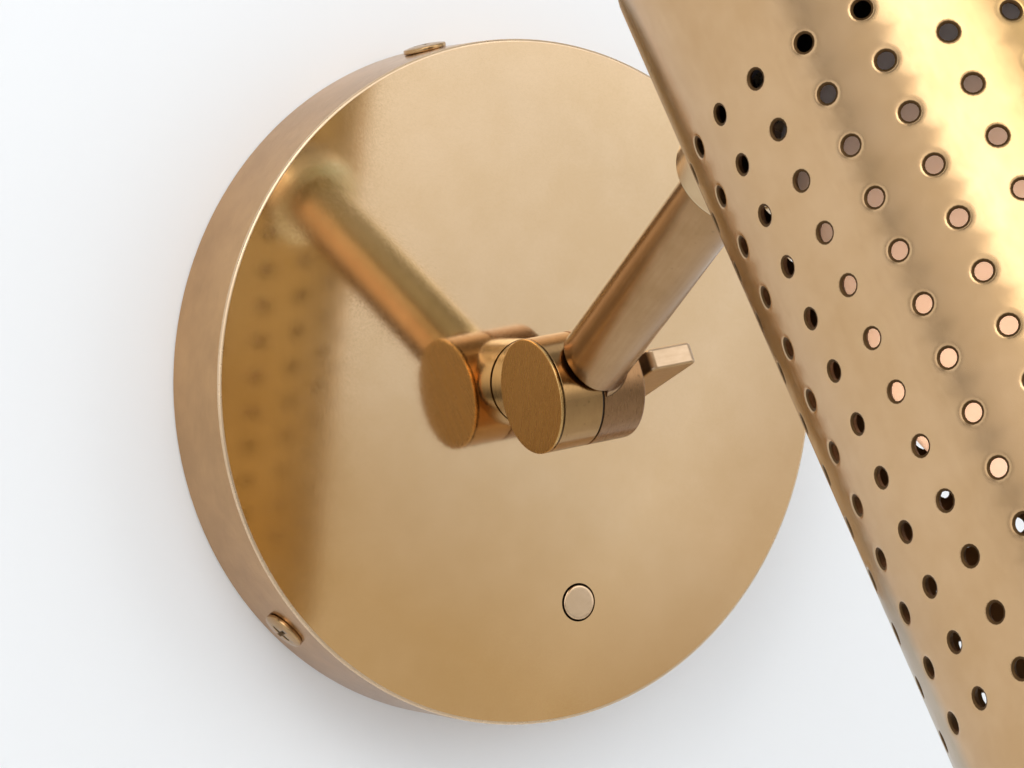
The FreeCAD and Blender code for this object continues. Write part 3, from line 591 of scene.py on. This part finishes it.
def saddled_tube(name, outer, inner, low_end, high_end, place, segments=96, flare=None):
    """Round tube whose two ends each follow a height given for a point of its section."""
    bm = bmesh.new()
    rings = []
    for radius, order in ((outer, ring_shares), (inner, ring_shares[::-1])):
        for share in order:
            ring = []
            for step in range(segments):
                angle = 2 * math.pi * (step + 0.5) / segments
                x, y = radius * math.cos(angle), radius * math.sin(angle)
                low, high = low_end(x, y), high_end(x, y)
                z = low + (high - low) * share
                grow = 1 + (flare(x, z - low) / radius if flare and radius == outer else 0)
                ring.append(bm.verts.new((x * grow * MM, y * grow * MM, z * MM)))
            rings.append(ring)
    bridged(bm, rings + rings[:1])
    bmesh.ops.recalc_face_normals(bm, faces=bm.faces)
    return smooth_flats(made_piece(name, bm, place))


def neck_end(x, y):
    """Distance out of the wall where the neck meets or clears the barrel."""
    rise = y + knuckle_drop
    reach = barrel_radius - neck_overlap if x < -split_half else barrel_radius + saddle_gap
    return knuckle_out - math.sqrt(reach ** 2 - rise ** 2)


neck = saddled_tube("neck", neck_radius, neck_bore, lambda x, y: neck_start, neck_end, in_neck)
dressed(neck, neck_brass, "neck")
print("neck is", round(neck.dimensions.y / MM, 1), "mm long")

# %% [markdown]
# The barrel is turned about a line across the neck. Its left half has a thin cap with a fine seam behind it,
# and its right half sits on the arm. Each half is hollowed round the pivot for the wires, which only shows
# in the split. The right half is the one that hands touch, so its brass is browner and more scratched.

# %% Knuckle barrel
barrel_left = 9.0
barrel_right = 9.0
cap_thickness = 0.7
cap_seam = 0.13
cap_spigot_radius = 4.95
cap_spigot = 0.9
screw_bore = 3.05
pocket_inner, pocket_outer, pocket_depth = 4.4, 7.6, 3.7
left_start = -barrel_left + cap_thickness + cap_seam
# Painted shade: below a radius of 10.36 mm both halves turn dark brown, in the split, the bore and end faces.
barrel_brass = brass("barrel_brass", (0.40, 0.23, 0.092), (0.32, 0.182, 0.072), in_barrel, gloss=(0.15, 0.24),
                     streak=(1, 1, 10), fineness=260, specks=0.5, bump=0.03, painted_shade_below=10.36)
worn_brass = brass("worn_barrel_brass", (0.31, 0.168, 0.078), (0.235, 0.125, 0.056), in_barrel,
                   gloss=(0.2, 0.3), cloud=110, streak=(1, 1, 14), fineness=420, specks=0.6, bump=0.06,
                   fine_tone=0.45, painted_shade_below=10.36)
# Painted shade: the cap's side turns dark towards the seam behind it.
cap_brass = brass("cap_brass", (0.59, 0.362, 0.138), (0.49, 0.295, 0.108), at_knuckle @ turn(28, "X"),
                  gloss=(0.22, 0.32), cloud=110, streak=(1, 14, 1), fineness=170, fine_tone=0.5,
                  light_and_shade_tints=[("X", -8.66, -8.58, untinted, (0.2, 0.16, 0.12))])


def barrel_half(side, end, end_round, *bore_round):
    """Outline of the half on one side, -1 or 1, from its outer end to the split and back along the bore."""
    split, pocket = side * split_half, side * pocket_depth
    return [(barrel_radius, end, end_round), (barrel_radius, split, 0.15), (pocket_outer, split),
            (pocket_outer, pocket), (pocket_inner, pocket), (pocket_inner, split),
            (screw_bore, split), (screw_bore, end, *bore_round)]


cap_back = left_start - cap_seam
cap_disc = [(0, -barrel_left), (barrel_radius - 1, -barrel_left), (barrel_radius, -barrel_left, 0.22),
            (barrel_radius, cap_back, 0.1), (cap_spigot_radius, cap_back),
            (cap_spigot_radius, left_start + cap_spigot, 0.1), (0, left_start + cap_spigot)]
left_barrel = turned("left_barrel", [barrel_half(-1, left_start, 0.12)], in_barrel)
dressed(left_barrel, barrel_brass, "neck")
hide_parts("swivel_neck")
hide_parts("swivel_neck")
cap = turned("barrel_cap", [cap_disc], in_barrel)
dressed(cap, cap_brass, "neck", "knuckle_cap")
right_barrel = turned("right_barrel", [barrel_half(1, barrel_right, 0.5, 0.1)], in_barrel)
dressed(right_barrel, worn_brass, "arm", "arm_knuckle")

# %% [markdown]
# The arm is a straight tube. Its lower end is cut to a saddle too: it stands clear of the left half and is
# joined to the right half by a small fillet of solder.

# %% Arm tube
arm_radius = 6.3
arm_wall = 1.3
tube_gap = 1.1
fillet, fillet_rise = 0.5, 1.2
# Painted shade: the bore and foot's cut end are dark brown. Painted reflection: the wall side, seen mirrored
# in the canopy, is first darker and then much paler.
tube_brass = brass("tube_brass", (0.40, 0.243, 0.12), (0.325, 0.19, 0.086), at_arm, gloss=(0.19, 0.27),
                   cloud=55, streak=(1, 1, 0.08), fineness=1500, specks=0.3, bump=0.025, painted_shade_below=6.1,
                   light_and_shade_tints=[("Y", 2.8, 4.2, untinted, (0.72, 0.84, 0.86)),
                          ("Y", 4.9, 5.7, untinted, (1.6, 1.95, 2.3))])


def arm_foot(x, y):
    """Height of the tube's lower end above the knuckle's middle."""
    lift = barrel_radius - 0.15 if x > split_half else barrel_radius + tube_gap
    return math.sqrt(lift ** 2 - y ** 2)


def solder(x, rise):
    """Extra radius of the fillet on the right half."""
    return fillet * max(0, 1 - rise / fillet_rise) ** 2 if x > split_half else 0


arm = saddled_tube("arm", arm_radius, arm_radius - arm_wall, arm_foot, lambda x, y: arm_reach, at_arm, 128,
                   solder)
dressed(arm, tube_brass, "arm", "arm_tube")

# %% [markdown]
# At the arm's upper end a round flange, with a low collar about the tube, carries a dark washer and then the
# shade's boss. The boss ends on the shade's curved side, so its far end is a saddle again.

# %% Flange and boss
flange_radius = 9.7
flange_bore = 4.05
flange_end = arm_reach + 5.0
boss_start = flange_end + 0.7
collar_radius = 7.8
collar_low, collar_high = arm_reach - 1.0, arm_reach + 0.1
collar_bore = arm_radius + 0.02
# Painted reflection: the collar and the side towards the wall are paler and cooler, as they look in the
# canopy.
flange_brass = brass("flange_brass", (0.60, 0.43, 0.25), (0.52, 0.36, 0.20), at_arm,
                     streak=(1, 1, 10), fineness=300, bump=0.02,
                     light_and_shade_tints=[("Z", 69.75, 70.3, (1.15, 1.5, 1.9), untinted),
                            ("Y", 5, 8, untinted, (1.1, 1.3, 1.5))])
flange_disc = [(flange_bore, arm_reach), (collar_radius, arm_reach), (flange_radius, arm_reach, 0.4),
               (flange_radius, flange_end, 0.4), (flange_bore, flange_end)]
collar = [(collar_bore, collar_high), (collar_bore, collar_low, 0.05), (collar_radius, collar_low, 0.3),
          (collar_radius, collar_high)]
flange = turned("flange", [flange_disc, collar], at_arm)
dressed(flange, flange_brass, "arm", "arm_flange")


def boss_end(x, y):
    """Height above the knuckle where the boss meets the shade's side."""
    lean = math.radians(shade_lean)
    depth = shade_radius - math.sqrt((shade_radius - 0.1) ** 2 - x ** 2)
    return shade_skin + (depth + y * math.sin(lean)) / math.cos(lean)


boss = saddled_tube("boss", flange_radius, flange_bore, lambda x, y: boss_start, boss_end, at_arm)
dressed(boss, flange_brass, "shade", "shade_boss")
print("boss is", round(shade_skin - boss_start, 1), "mm long at its middle")

# %% [markdown]
# The thumb screw lies on the barrel's own axis, because tightening it clamps the two halves. Its paddle is a
# flat bar with round corners: an outline of four arcs, given a thickness, with every long edge softened by a
# bevel.

# %% Thumb screw
paddle_start = 10.7
paddle_width = 9.7
paddle_thickness = 4.0
paddle_length = 22.0
paddle_corner = 1.3
paddle_edge = 0.6
paddle_angle = 19.5
clamp_radius, clamp_end = 3.0, -6.6
stem_collar, stem_collar_start = 3.7, 9.76
in_paddle = at_knuckle @ turn(-paddle_angle, "X")
# Painted shade: the paddle's underside is darker and browner.
paddle_brass = brass("paddle_brass", (0.64, 0.46, 0.30), (0.56, 0.39, 0.24), in_paddle, gloss=(0.3, 0.4),
                     cloud=120, streak=(1, 8, 8), fineness=300, bump=0.02,
                     light_and_shade_tints=[("Z", -1.95, -1.5, (0.72, 0.6, 0.4), untinted)])


def make_paddle():
    """Flat bar with round corners and soft edges, with its collar and shank."""
    bm = bmesh.new()
    left, right, end = paddle_start, paddle_start + paddle_width, paddle_length / 2
    corners = [(x, y, paddle_corner) for x, y in ((right, end), (left, end), (left, -end), (right, -end))]
    outline = rounded_outline(corners, steps=8)
    bottom = bm.faces.new([bm.verts.new((x * MM, y * MM, -paddle_thickness / 2 * MM)) for x, y in outline])
    grown = bmesh.ops.extrude_face_region(bm, geom=[bottom])
    bmesh.ops.translate(bm, vec=(0, 0, paddle_thickness * MM),
                        verts=[v for v in grown["geom"] if isinstance(v, bmesh.types.BMVert)])
    rims = [e for e in bm.edges if abs(e.verts[0].co.z - e.verts[1].co.z) < 1e-7]
    bmesh.ops.bevel(bm, geom=rims, offset=paddle_edge * MM, segments=5, profile=0.5, affect="EDGES")
    stem_top = paddle_start + 0.4
    stem = [(0, clamp_end, 0.2), (clamp_radius, clamp_end, 0.2), (clamp_radius, stem_collar_start),
            (stem_collar, stem_collar_start, 0.15), (stem_collar, stem_top), (0, stem_top)]
    before = set(bm.verts)
    spin(bm, rounded_outline(stem), 64)
    bmesh.ops.transform(bm, matrix=along_x, verts=[v for v in bm.verts if v not in before])
    bmesh.ops.recalc_face_normals(bm, faces=bm.faces)
    return smooth_flats(made_piece("paddle", bm, in_paddle))


paddle = make_paddle()
dressed(paddle, paddle_brass, "paddle", "paddle_screw")
washer_radius, washer_start, washer_end = 4.7, 9.03, 9.73
washer_rim = [(screw_bore, washer_start), (washer_radius, washer_start, 0.15),
              (washer_radius, washer_end, 0.15), (screw_bore, washer_end)]
washer = turned("paddle_washer_ring", [washer_rim], in_barrel)
dressed(washer, paddle_brass, "paddle", "paddle_washer")

# %% [markdown]
# The push button is a low brass stud in a ring of clearance. Pressing it slides it straight in, so it rides
# on a body of its own. Only its top is brass coloured: its sides are dark brown, painted shade of the gap.

# %% Button
button_radius, button_top = 3.25, 19.35
guide_radius, guide_top, guide_end = 3.9, 17.72, 14.32
stem_radius, stem_end = 1.5, 9.4
button_brass = brass("button_brass", (0.78, 0.56, 0.36), (0.70, 0.49, 0.30), at_wall, cloud=160,
                     fineness=1400)
button_cap = [(0, button_top), (2.6, button_top), (button_radius, button_top, 0.3),
              (button_radius, guide_top), (guide_radius, guide_top, 0.1), (guide_radius, guide_end, 0.1),
              (stem_radius, guide_end), (stem_radius, stem_end, 0.2), (0, stem_end)]
button = turned("button_stud", [button_cap], in_button, 64)
dressed(button, button_brass, "button", "push_button")
# Painted shade: the button's sides get the dark brown of the gap round it.
button.data.materials.append(gap_shade_brass)
for face in button.data.polygons:
    face.material_index = 0 if face.normal.y < -0.3 and face.center.y < -canopy_depth * MM else 1

# %% [markdown]
# Three pan-head screws hold the canopy's side. They are one screw, repeated round the rim, which is what
# Geometry Nodes are for: a circle of points, one screw placed on each, and the copies made real. The radius,
# the count and two finishes are named inputs. The second finish, a dark brown, goes to the faces marked as
# the cross recess: painted shade in the recess.

# %% Helpers: geometry trees


def new_tree(name, inputs):
    """Geometry tree with its named inputs, given with their kinds, and its two ends."""
    tree = bpy.data.node_groups.new(name, "GeometryNodeTree")
    for end in ("INPUT", "OUTPUT"):
        tree.interface.new_socket("Geometry", in_out=end, socket_type="NodeSocketGeometry")
    for label, kind in inputs.items():
        tree.interface.new_socket(label, in_out="INPUT", socket_type="NodeSocket" + kind)
    return tree, tree.nodes.new("NodeGroupInput").outputs, tree.nodes.new("NodeGroupOutput").inputs[0]


def run_tree(piece, tree, values):
    """Runs a geometry tree on a piece with values given by input name, and keeps the plain mesh."""
    modifier = piece.modifiers.new(tree.name, "NODES")
    modifier.node_group = tree
    for item in tree.interface.items_tree:
        if item.item_type == "SOCKET" and item.in_out == "INPUT" and item.name in values:
            modifier[item.identifier] = values[item.name]
    return made_plain(piece)


def ring_tree():
    """Tree that repeats the piece round a circle about its Z axis and makes the copies real."""
    tree, given, end = new_tree("ring_of_copies", {"Count": "Int", "Radius": "Float", "Finish": "Material",
                                                   "Recess Shade Finish": "Material"})
    circle = add(tree, "GeometryNodeMeshCircle", Vertices=given["Count"], Radius=given["Radius"])
    outward = add(tree, "FunctionNodeAlignRotationToVector", axis="Z",
                  Vector=add(tree, "GeometryNodeInputPosition").outputs[0])
    copies = add(tree, "GeometryNodeInstanceOnPoints", Points=circle.outputs[0], Instance=given["Geometry"],
                 Rotation=outward.outputs[0])
    real = add(tree, "GeometryNodeRealizeInstances", Geometry=copies.outputs[0])
    whole = add(tree, "GeometryNodeSetMaterial", Geometry=real.outputs[0], Material=given["Finish"])
    shaded_recess = add(tree, "GeometryNodeInputNamedAttribute", data_type="BOOLEAN", Name="shaded_recess")
    recess = add(tree, "GeometryNodeSetMaterial", Geometry=whole.outputs[0],
                 Selection=shaded_recess.outputs["Attribute"], Material=given["Recess Shade Finish"])
    tree.links.new(recess.outputs[0], end)
    return tree


print("ring tree:", len(ring_tree().nodes), "nodes")

# %% Rim screws
screw_count = 3
rim_screw_height = 8.5
screw_lift = 0.03
head_radius, head_edge, head_crown = 4.0, 0.75, 1.15
shank_radius, shank_length = 2.0, 6.0
recess_reach = 2.3
screw_brass = brass("screw_brass", (0.50, 0.315, 0.15), (0.42, 0.255, 0.115), at_wall, gloss=(0.16, 0.26),
                    cloud=260, fineness=2200)
# Painted shade: the dark brown of the cross recess.
recess_shade_brass = brass("screw_recess_shade_brass", (0.20, 0.125, 0.065), (0.12, 0.07, 0.035), at_wall,
                     gloss=(0.14, 0.24), cloud=260, streak=(6, 6, 1))


def cross_punch(width, length, tip_width, tip_length, top, bottom):
    """Tapered plus-shaped punch along Z that presses a cross recess."""
    bm = bmesh.new()
    loops = []
    for wide, far, height in ((width / 2, length / 2, top), (tip_width / 2, tip_length / 2, bottom)):
        quarter = [(far, -wide), (far, wide), (wide, wide)]
        corners = [turn(90 * side, "Z") @ Vector((x, y, height)) for side in range(4) for x, y in quarter]
        loops.append([bm.verts.new(corner * MM) for corner in corners])
    bridged(bm, loops)
    bm.faces.new(loops[0])
    bm.faces.new(loops[1][::-1])
    bmesh.ops.recalc_face_normals(bm, faces=bm.faces)
    return made_piece("cross", bm, turn(-12, "Z"))


def make_pan_screw():
    """One pan-head screw along Z with a cross recess, its head's underside at the origin."""
    recess = cross_punch(0.95, 4.6, 0.7, 3.2, 2.0, 0.35)
    head = [(0, head_crown), (1.5, 1.12), (2.8, 1.0), (head_radius, head_edge, 0.25),
            (head_radius, 0, 0.08), (shank_radius, 0), (shank_radius, -shank_length, 0.3),
            (0, -shank_length)]
    screw = turned("rim_screws", [head], at_wall, 48, recess)
    # Marks the faces of the cross recess, which get the painted shade.
    shaded_recess = screw.data.attributes.new("shaded_recess", "BOOLEAN", "FACE")
    for face, mark in zip(screw.data.polygons, shaded_recess.data):
        inward = math.hypot(face.center.x, face.center.y) < recess_reach * MM and face.center.z > 0
        mark.value = inward and (face.normal.z < 0.9 or face.center.z < 0.6 * MM)
    print("recess faces:", sum(1 for mark in shaded_recess.data if mark.value))
    return screw


screws = make_pan_screw()
run_tree(screws, bpy.data.node_groups["ring_of_copies"],
         {"Count": screw_count, "Radius": (canopy_radius + screw_lift) * MM, "Finish": screw_brass,
          "Recess Shade Finish": recess_shade_brass})
screws.data.transform(shift(0, -rim_screw_height, 0) @ turn(-90, "X") @ turn(-90, "Z"))
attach(screws, "base")
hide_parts("canopy_screws")
heights = [v.co.z / MM for v in screws.data.vertices]
print("screws lie from", round(min(heights), 1), "to", round(max(heights), 1), "mm high")

# %% [markdown]
# The shade is a tube with rows of drilled holes. Drilling 288 holes with booleans would be slow and would
# leave long thin faces that shine unevenly. So one small square tile of sheet with a soft-edged hole is
# drawn flat, Geometry Nodes lay it out in a grid, and the grid is rolled up into a tube: the distance along
# the sheet becomes an angle.

# %% Shade: one tile
columns = 24
rings = 12
first_ring = 16.7
ring_pitch = 8.67
hole_radius = 1.8
hole_throat = 1.36
hole_lips = [(hole_radius + 0.9, 0), (hole_radius + 0.4, 0.01), (hole_radius + 0.14, 0.03),
             (hole_radius, 0.075), (hole_throat, 0.28), (hole_throat, 0.38), (hole_radius, shade_wall)]
tile_side = 4
tile_width = 2 * math.pi * shade_radius / columns


def make_tile():
    """Flat square of sheet with one hole whose outer edge is softened."""
    half_u, half_v = tile_width / 2, ring_pitch / 2
    corners = [(half_u, half_v), (half_u, -half_v), (-half_u, -half_v), (-half_u, half_v)]
    border = []
    for (u, v), (next_u, next_v) in zip(corners, corners[1:] + corners[:1]):
        for step in range(tile_side):
            share = step / tile_side
            border.append((u + (next_u - u) * share, v + (next_v - v) * share))
    angles = [math.radians(45 - 360 * i / len(border)) for i in range(len(border))]
    loops = [[(u, v, 0) for u, v in border]]
    for radius, depth in hole_lips:
        loops.append([(radius * math.cos(a), radius * math.sin(a), -depth) for a in angles])
    loops.append([(u, v, -shade_wall) for u, v in border])
    bm = bmesh.new()
    bridged(bm, [[bm.verts.new([value * MM for value in point]) for point in loop] for loop in loops])
    return made_piece("shade", bm)


shade = make_tile()
print("tile:", len(shade.data.polygons), "faces,", round(tile_width, 2), "mm wide")

# %% Shade: the rolled sheet
# Painted shade: the hole walls, inside and lid turn dark brown. Painted light and reflection: the wall side
# is darker and cooler, the left pinker and the right more golden.
shade_brass = brass("shade_brass", (0.60, 0.40, 0.19), (0.535, 0.342, 0.147), in_shade,
                    gloss=(0.2, 0.27), cloud=34, streak=(2.5, 2.5, 1), fineness=260, bump=0.0,
                    fine_tone=0.1, painted_shade_below=37.43,
                    light_and_shade_tints=[("Y", -13, -9.5, (0.70, 0.80, 0.94), (0.98, 0.97, 0.97)),
                           ("X", -30, -10, (1.0, 0.99, 1.14), (1.0, 0.98, 0.92)),
                           ("X", -12, 0, untinted, (1.12, 1.08, 0.95))])


def rolled_sheet_tree():
    """Tree that lays tiles in a grid, joins them and rolls the sheet into a tube about Z."""
    tree, given, end = new_tree("rolled_sheet", {"Columns": "Int", "Rings": "Int", "Tile Width": "Float",
                                                 "Ring Pitch": "Float", "Tube Radius": "Float",
                                                 "Finish": "Material"})
    across = times(tree, calculated(tree, "SUBTRACT", given["Columns"], 1), given["Tile Width"])
    along = times(tree, calculated(tree, "SUBTRACT", given["Rings"], 1), given["Ring Pitch"])
    grid = add(tree, "GeometryNodeMeshGrid", Vertices_X=given["Columns"], Vertices_Y=given["Rings"],
               Size_X=across, Size_Y=along)
    copies = add(tree, "GeometryNodeInstanceOnPoints", Points=grid.outputs[0], Instance=given["Geometry"])
    real = add(tree, "GeometryNodeRealizeInstances", Geometry=copies.outputs[0])
    position = add(tree, "GeometryNodeInputPosition").outputs[0]
    flat = add(tree, "SeparateXYZ", Vector=position).outputs
    angle = calculated(tree, "DIVIDE", flat["X"], given["Tube Radius"])
    radius = calculated(tree, "ADD", flat["Z"], given["Tube Radius"])
    round_place = add(tree, "CombineXYZ", X=times(tree, radius, calculated(tree, "COSINE", angle)),
                      Y=times(tree, radius, calculated(tree, "SINE", angle)), Z=flat["Y"])
    roll = add(tree, "GeometryNodeSetPosition", Geometry=real.outputs[0], Position=round_place.outputs[0])
    weld = add(tree, "GeometryNodeMergeByDistance", Geometry=roll.outputs[0], Distance=0.00001)
    whole = add(tree, "GeometryNodeSetMaterial", Geometry=weld.outputs[0], Material=given["Finish"])
    tree.links.new(whole.outputs[0], end)
    return tree


run_tree(shade, rolled_sheet_tree(), {"Columns": columns, "Rings": rings, "Tile Width": tile_width * MM,
                                      "Ring Pitch": ring_pitch * MM, "Tube Radius": shade_radius * MM,
                                      "Finish": shade_brass})
print("rolled sheet:", len(shade.data.polygons), "faces")

# %% [markdown]
# Above and below the holes the tube is plain. Those two bands are turned, with soft rims, and welded to the
# sheet where their edges meet. Their corners fall on the same 96 lines, so nothing shows at the joint.

# %% Shade: plain bands
shade_top = -15.0
shade_mouth = 128.0
rim_band = 0.8


def finish_shade():
    """Welds the plain bands to the perforated sheet and puts the tube in its place."""
    bm = bmesh.new()
    bm.from_mesh(shade.data)
    half_length = (rings - 1) * ring_pitch / 2
    place = shift(0, 0, first_ring + half_length) @ turn(180 / columns, "Z")
    bmesh.ops.transform(bm, matrix=place, verts=bm.verts)
    inner = shade_radius - shade_wall
    seams = (first_ring - ring_pitch / 2, first_ring + (rings - 0.5) * ring_pitch)
    for seam, rim, way in ((seams[0], shade_top, -1), (seams[1], shade_mouth, 1)):
        band = [(shade_radius, seam), (shade_radius, rim - way * rim_band), (shade_radius, rim, 0.3),
                (inner, rim, 0.3), (inner, rim - way * rim_band), (inner, seam)]
        spin(bm, rounded_outline(band), columns * tile_side, closed=False)
    bmesh.ops.remove_doubles(bm, verts=bm.verts, dist=0.00002)
    bmesh.ops.recalc_face_normals(bm, faces=bm.faces)
    open_edges = sum(1 for e in bm.edges if len(e.link_faces) != 2)
    bm.to_mesh(shade.data)
    bm.free()
    shade.data.transform(in_shade)
    smooth_flats(shade)
    return open_edges


print("open edges:", finish_shade())
dressed(shade, shade_brass, "shade", "shade_shell")

# %% [markdown]
# Inside the shade sit a cap that closes the top, a black lamp holder and a frosted bulb. They are seen
# through the holes and from below. The bulb is a wide tube with a flat shoulder just under the holder, since
# the pale glass shows even through the second ring of holes. It has a painted glow, warm and stronger towards
# its free end and the room's side, that stands in for light reaching it. Its metal base has a rolled thread,
# drawn as ridges.

# %% Other finishes


def moulded(name, colour, roughness, variation=0.12, scale=300, metallic=0.0):
    """Plain finish with slight changes of tone, gloss and relief."""
    material, tree, shader = new_finish(name)
    place = add(tree, "TexCoord").outputs["Object"]
    tone = spread(tree, stretched_noise(tree, place, scale, detail=4.0), 0.3, 0.7)
    grain = stretched_noise(tree, place, scale * 9, detail=2.0)
    light = tuple(min(1.0, c * (1 + variation)) for c in colour)
    dark = tuple(c * (1 - variation) for c in colour)
    fill(shader, Metallic=metallic, Base_Color=blended(tree, tone, light, dark),
         Roughness=spread(tree, grain, 0.3, 0.7, roughness * 0.85, roughness * 1.15))
    relief(tree, shader, grain, 0.05, 0.00005)
    return material


def frosted_glass():
    """White frosted glass with a faint, warm painted glow towards its free end and towards the room."""
    material = moulded("frosted_glass", (0.86, 0.855, 0.87), 0.38, 0.03, 500)
    tree = material.node_tree
    local = piece_place(tree, in_shade)
    # Painted light: a glow that grows along the bulb and towards the room.
    painted_glow = times(tree, along_axis(tree, local, "Z", 22, 64, 0.0, 0.6),
                   along_axis(tree, local, "Y", -20, -10, 0.1, 1.0))
    fill(tree.nodes["Principled BSDF"], Emission_Strength=painted_glow, Emission_Color=(1.0, 0.58, 0.34, 1),
         Transmission_Weight=0.25, IOR=1.5)
    return material


zinc = moulded("zinc_plate", (0.56, 0.57, 0.58), 0.32, 0.16, 160, 1.0)
tin = moulded("tinned_brass", (0.62, 0.57, 0.46), 0.3, 0.14, 240, 1.0)
bright_steel = moulded("bright_steel", (0.5, 0.5, 0.51), 0.25, 0.1, 300, 1.0)
bulb_metal = moulded("bulb_metal", (0.74, 0.74, 0.73), 0.28, 0.1, 240, 1.0)
phenolic = moulded("black_phenolic", (0.03, 0.028, 0.026), 0.42, 0.25, 260)
nylon = moulded("white_nylon", (0.76, 0.75, 0.71), 0.5, 0.05, 200)
green_enamel = moulded("green_enamel", (0.03, 0.22, 0.06), 0.35, 0.12, 240)
washer_brown = moulded("washer_brown", (0.045, 0.026, 0.014), 0.6, 0.2, 400)
glass = frosted_glass()
print("finishes:", len(bpy.data.materials))

# %% Lid and lamp holder
lid_radius = shade_radius - shade_wall - 0.05
lid_plate, lid_skirt = 1.2, 3.0
lid_corners = [(0, shade_top), (lid_radius - 1.5, shade_top), (lid_radius, shade_top, 0.3),
               (lid_radius, shade_top + lid_skirt, 0.2), (lid_radius - lid_plate, shade_top + lid_skirt, 0.2),
               (lid_radius - lid_plate, shade_top + lid_plate, 0.4), (0, shade_top + lid_plate)]
lid = turned("shade_lid", [lid_corners], in_shade)
dressed(lid, shade_brass, "shade", "shade_cap")

holder_top = -9.47
holder_bore, holder_inside = 4.95, 14.2
holder_neck, holder_radius, groove_radius = 12.0, 16.5, 15.9
holder_shoulder, holder_floor, holder_end = holder_top + 6, holder_top + 9, holder_top + 24
holder = [(holder_bore, holder_top), (holder_neck, holder_top, 1.2), (holder_neck, holder_shoulder, 0.6),
          (holder_radius, holder_shoulder, 1.5), (holder_radius, holder_top + 12, 0.2),
          (groove_radius, holder_top + 12.4, 0.2), (groove_radius, holder_top + 13.2, 0.2),
          (holder_radius, holder_top + 13.6, 0.2), (holder_radius, holder_end, 0.8),
          (holder_inside, holder_end, 0.4), (holder_inside, holder_floor), (holder_bore, holder_floor)]
socket = turned("lamp_holder", [holder], in_shade)
dressed(socket, phenolic, "shade", "socket_body")

# %% Bulb
base_top, base_radius, base_length = 3.39, 13.0, 19.4
thread_depth, thread_pitch, thread_turns = 0.6, 3.2, 5
bulb_radius, bulb_round, bulb_wall = 24.0, 4.0, 0.8
shoulder_at, bulb_length = 15.13, 69.8


def threaded_base():
    """Outline of the bulb's metal base, from its closed end over the ridges to its open end."""
    root = base_radius - thread_depth
    thread = [(0, base_top), (8.5, base_top, 0.4), (root, base_top + 1.2, 0.4)]
    for ridge in range(thread_turns):
        rise = base_top + 2.0 + ridge * thread_pitch
        thread += [(root, rise, 0.3), (base_radius, rise + 0.9, 0.4), (base_radius, rise + 1.4, 0.4),
                   (root, rise + 2.3, 0.3)]
    base_end = base_top + base_length
    return thread + [(base_radius - 0.1, base_end - 1, 0.2), (base_radius - 0.1, base_end, 0.1),
                     (base_radius - 0.9, base_end), (base_radius - 1.4, base_top + 2.4),
                     (0, base_top + 1.2)]


def arc(r, h, radius, start, end, steps):
    """Points of an arc about a middle, between two angles in degrees."""
    angles = [math.radians(start + (end - start) * step / steps) for step in range(steps + 1)]
    return [(r + radius * math.cos(angle), h + radius * math.sin(angle)) for angle in angles]


def bulb_outline(inset):
    """Outline of the glass at an inset, from the base's hole over the flat shoulder to the round end."""
    reach, soft, low = bulb_radius - inset, bulb_round - inset, shoulder_at + inset
    shoulder = arc(reach - soft, low + soft, soft, -90, 0, 6)
    round_end = arc(0, shoulder_at + bulb_length - bulb_radius, reach, 0, 90, 16)
    return [(base_radius + 0.05, low), (reach - soft - 2, low)] + shoulder + round_end


bulb_base = turned("bulb_thread", [threaded_base()], in_shade)
dressed(bulb_base, bulb_metal, "shade", "bulb_base")
bulb = turned("bulb_bowl", [bulb_outline(0) + bulb_outline(bulb_wall)[::-1]], in_shade, 64)
dressed(bulb, glass, "shade", "bulb_glass")
print("bulb ends", round(shoulder_at + bulb_length, 1), "mm below the arm")

# %% [markdown]
# The working solids that are already right keep their shapes. They only need their finishes: plated steel
# for the bracket and nuts, black plastic for the switch, nylon for the terminal block, dark fibre for the
# thin washers.

# %% Finishes of the plain solids
finishes = {
    zinc: ["wall_bracket", "terminal_screws", "switch_studs", "switch_nuts", "stop_pin", "inner_washer",
           "stop_washer", "neck_nut", "saddle_washer", "socket_bracket"],
    tin: ["switch_lugs", "swivel_nipple", "retaining_nut", "shade_nut", "socket_nipple", "socket_nut",
          "socket_shell", "socket_contact"],
    phenolic: ["switch_body", "bulb_tip"],
    nylon: ["terminal_block"],
    green_enamel: ["ground_screw"],
    bright_steel: ["button_spring"],
    washer_brown: ["swivel_washer", "knuckle_washer", "seam_washer"],
}
for finish, names in finishes.items():
    for name in names:
        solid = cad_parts[name]
        if not solid.material_slots:
            solid.data.materials.append(finish)
        for slot in solid.material_slots:
            slot.material = finish
print("plain solids:", sum(len(names) for names in finishes.values()))
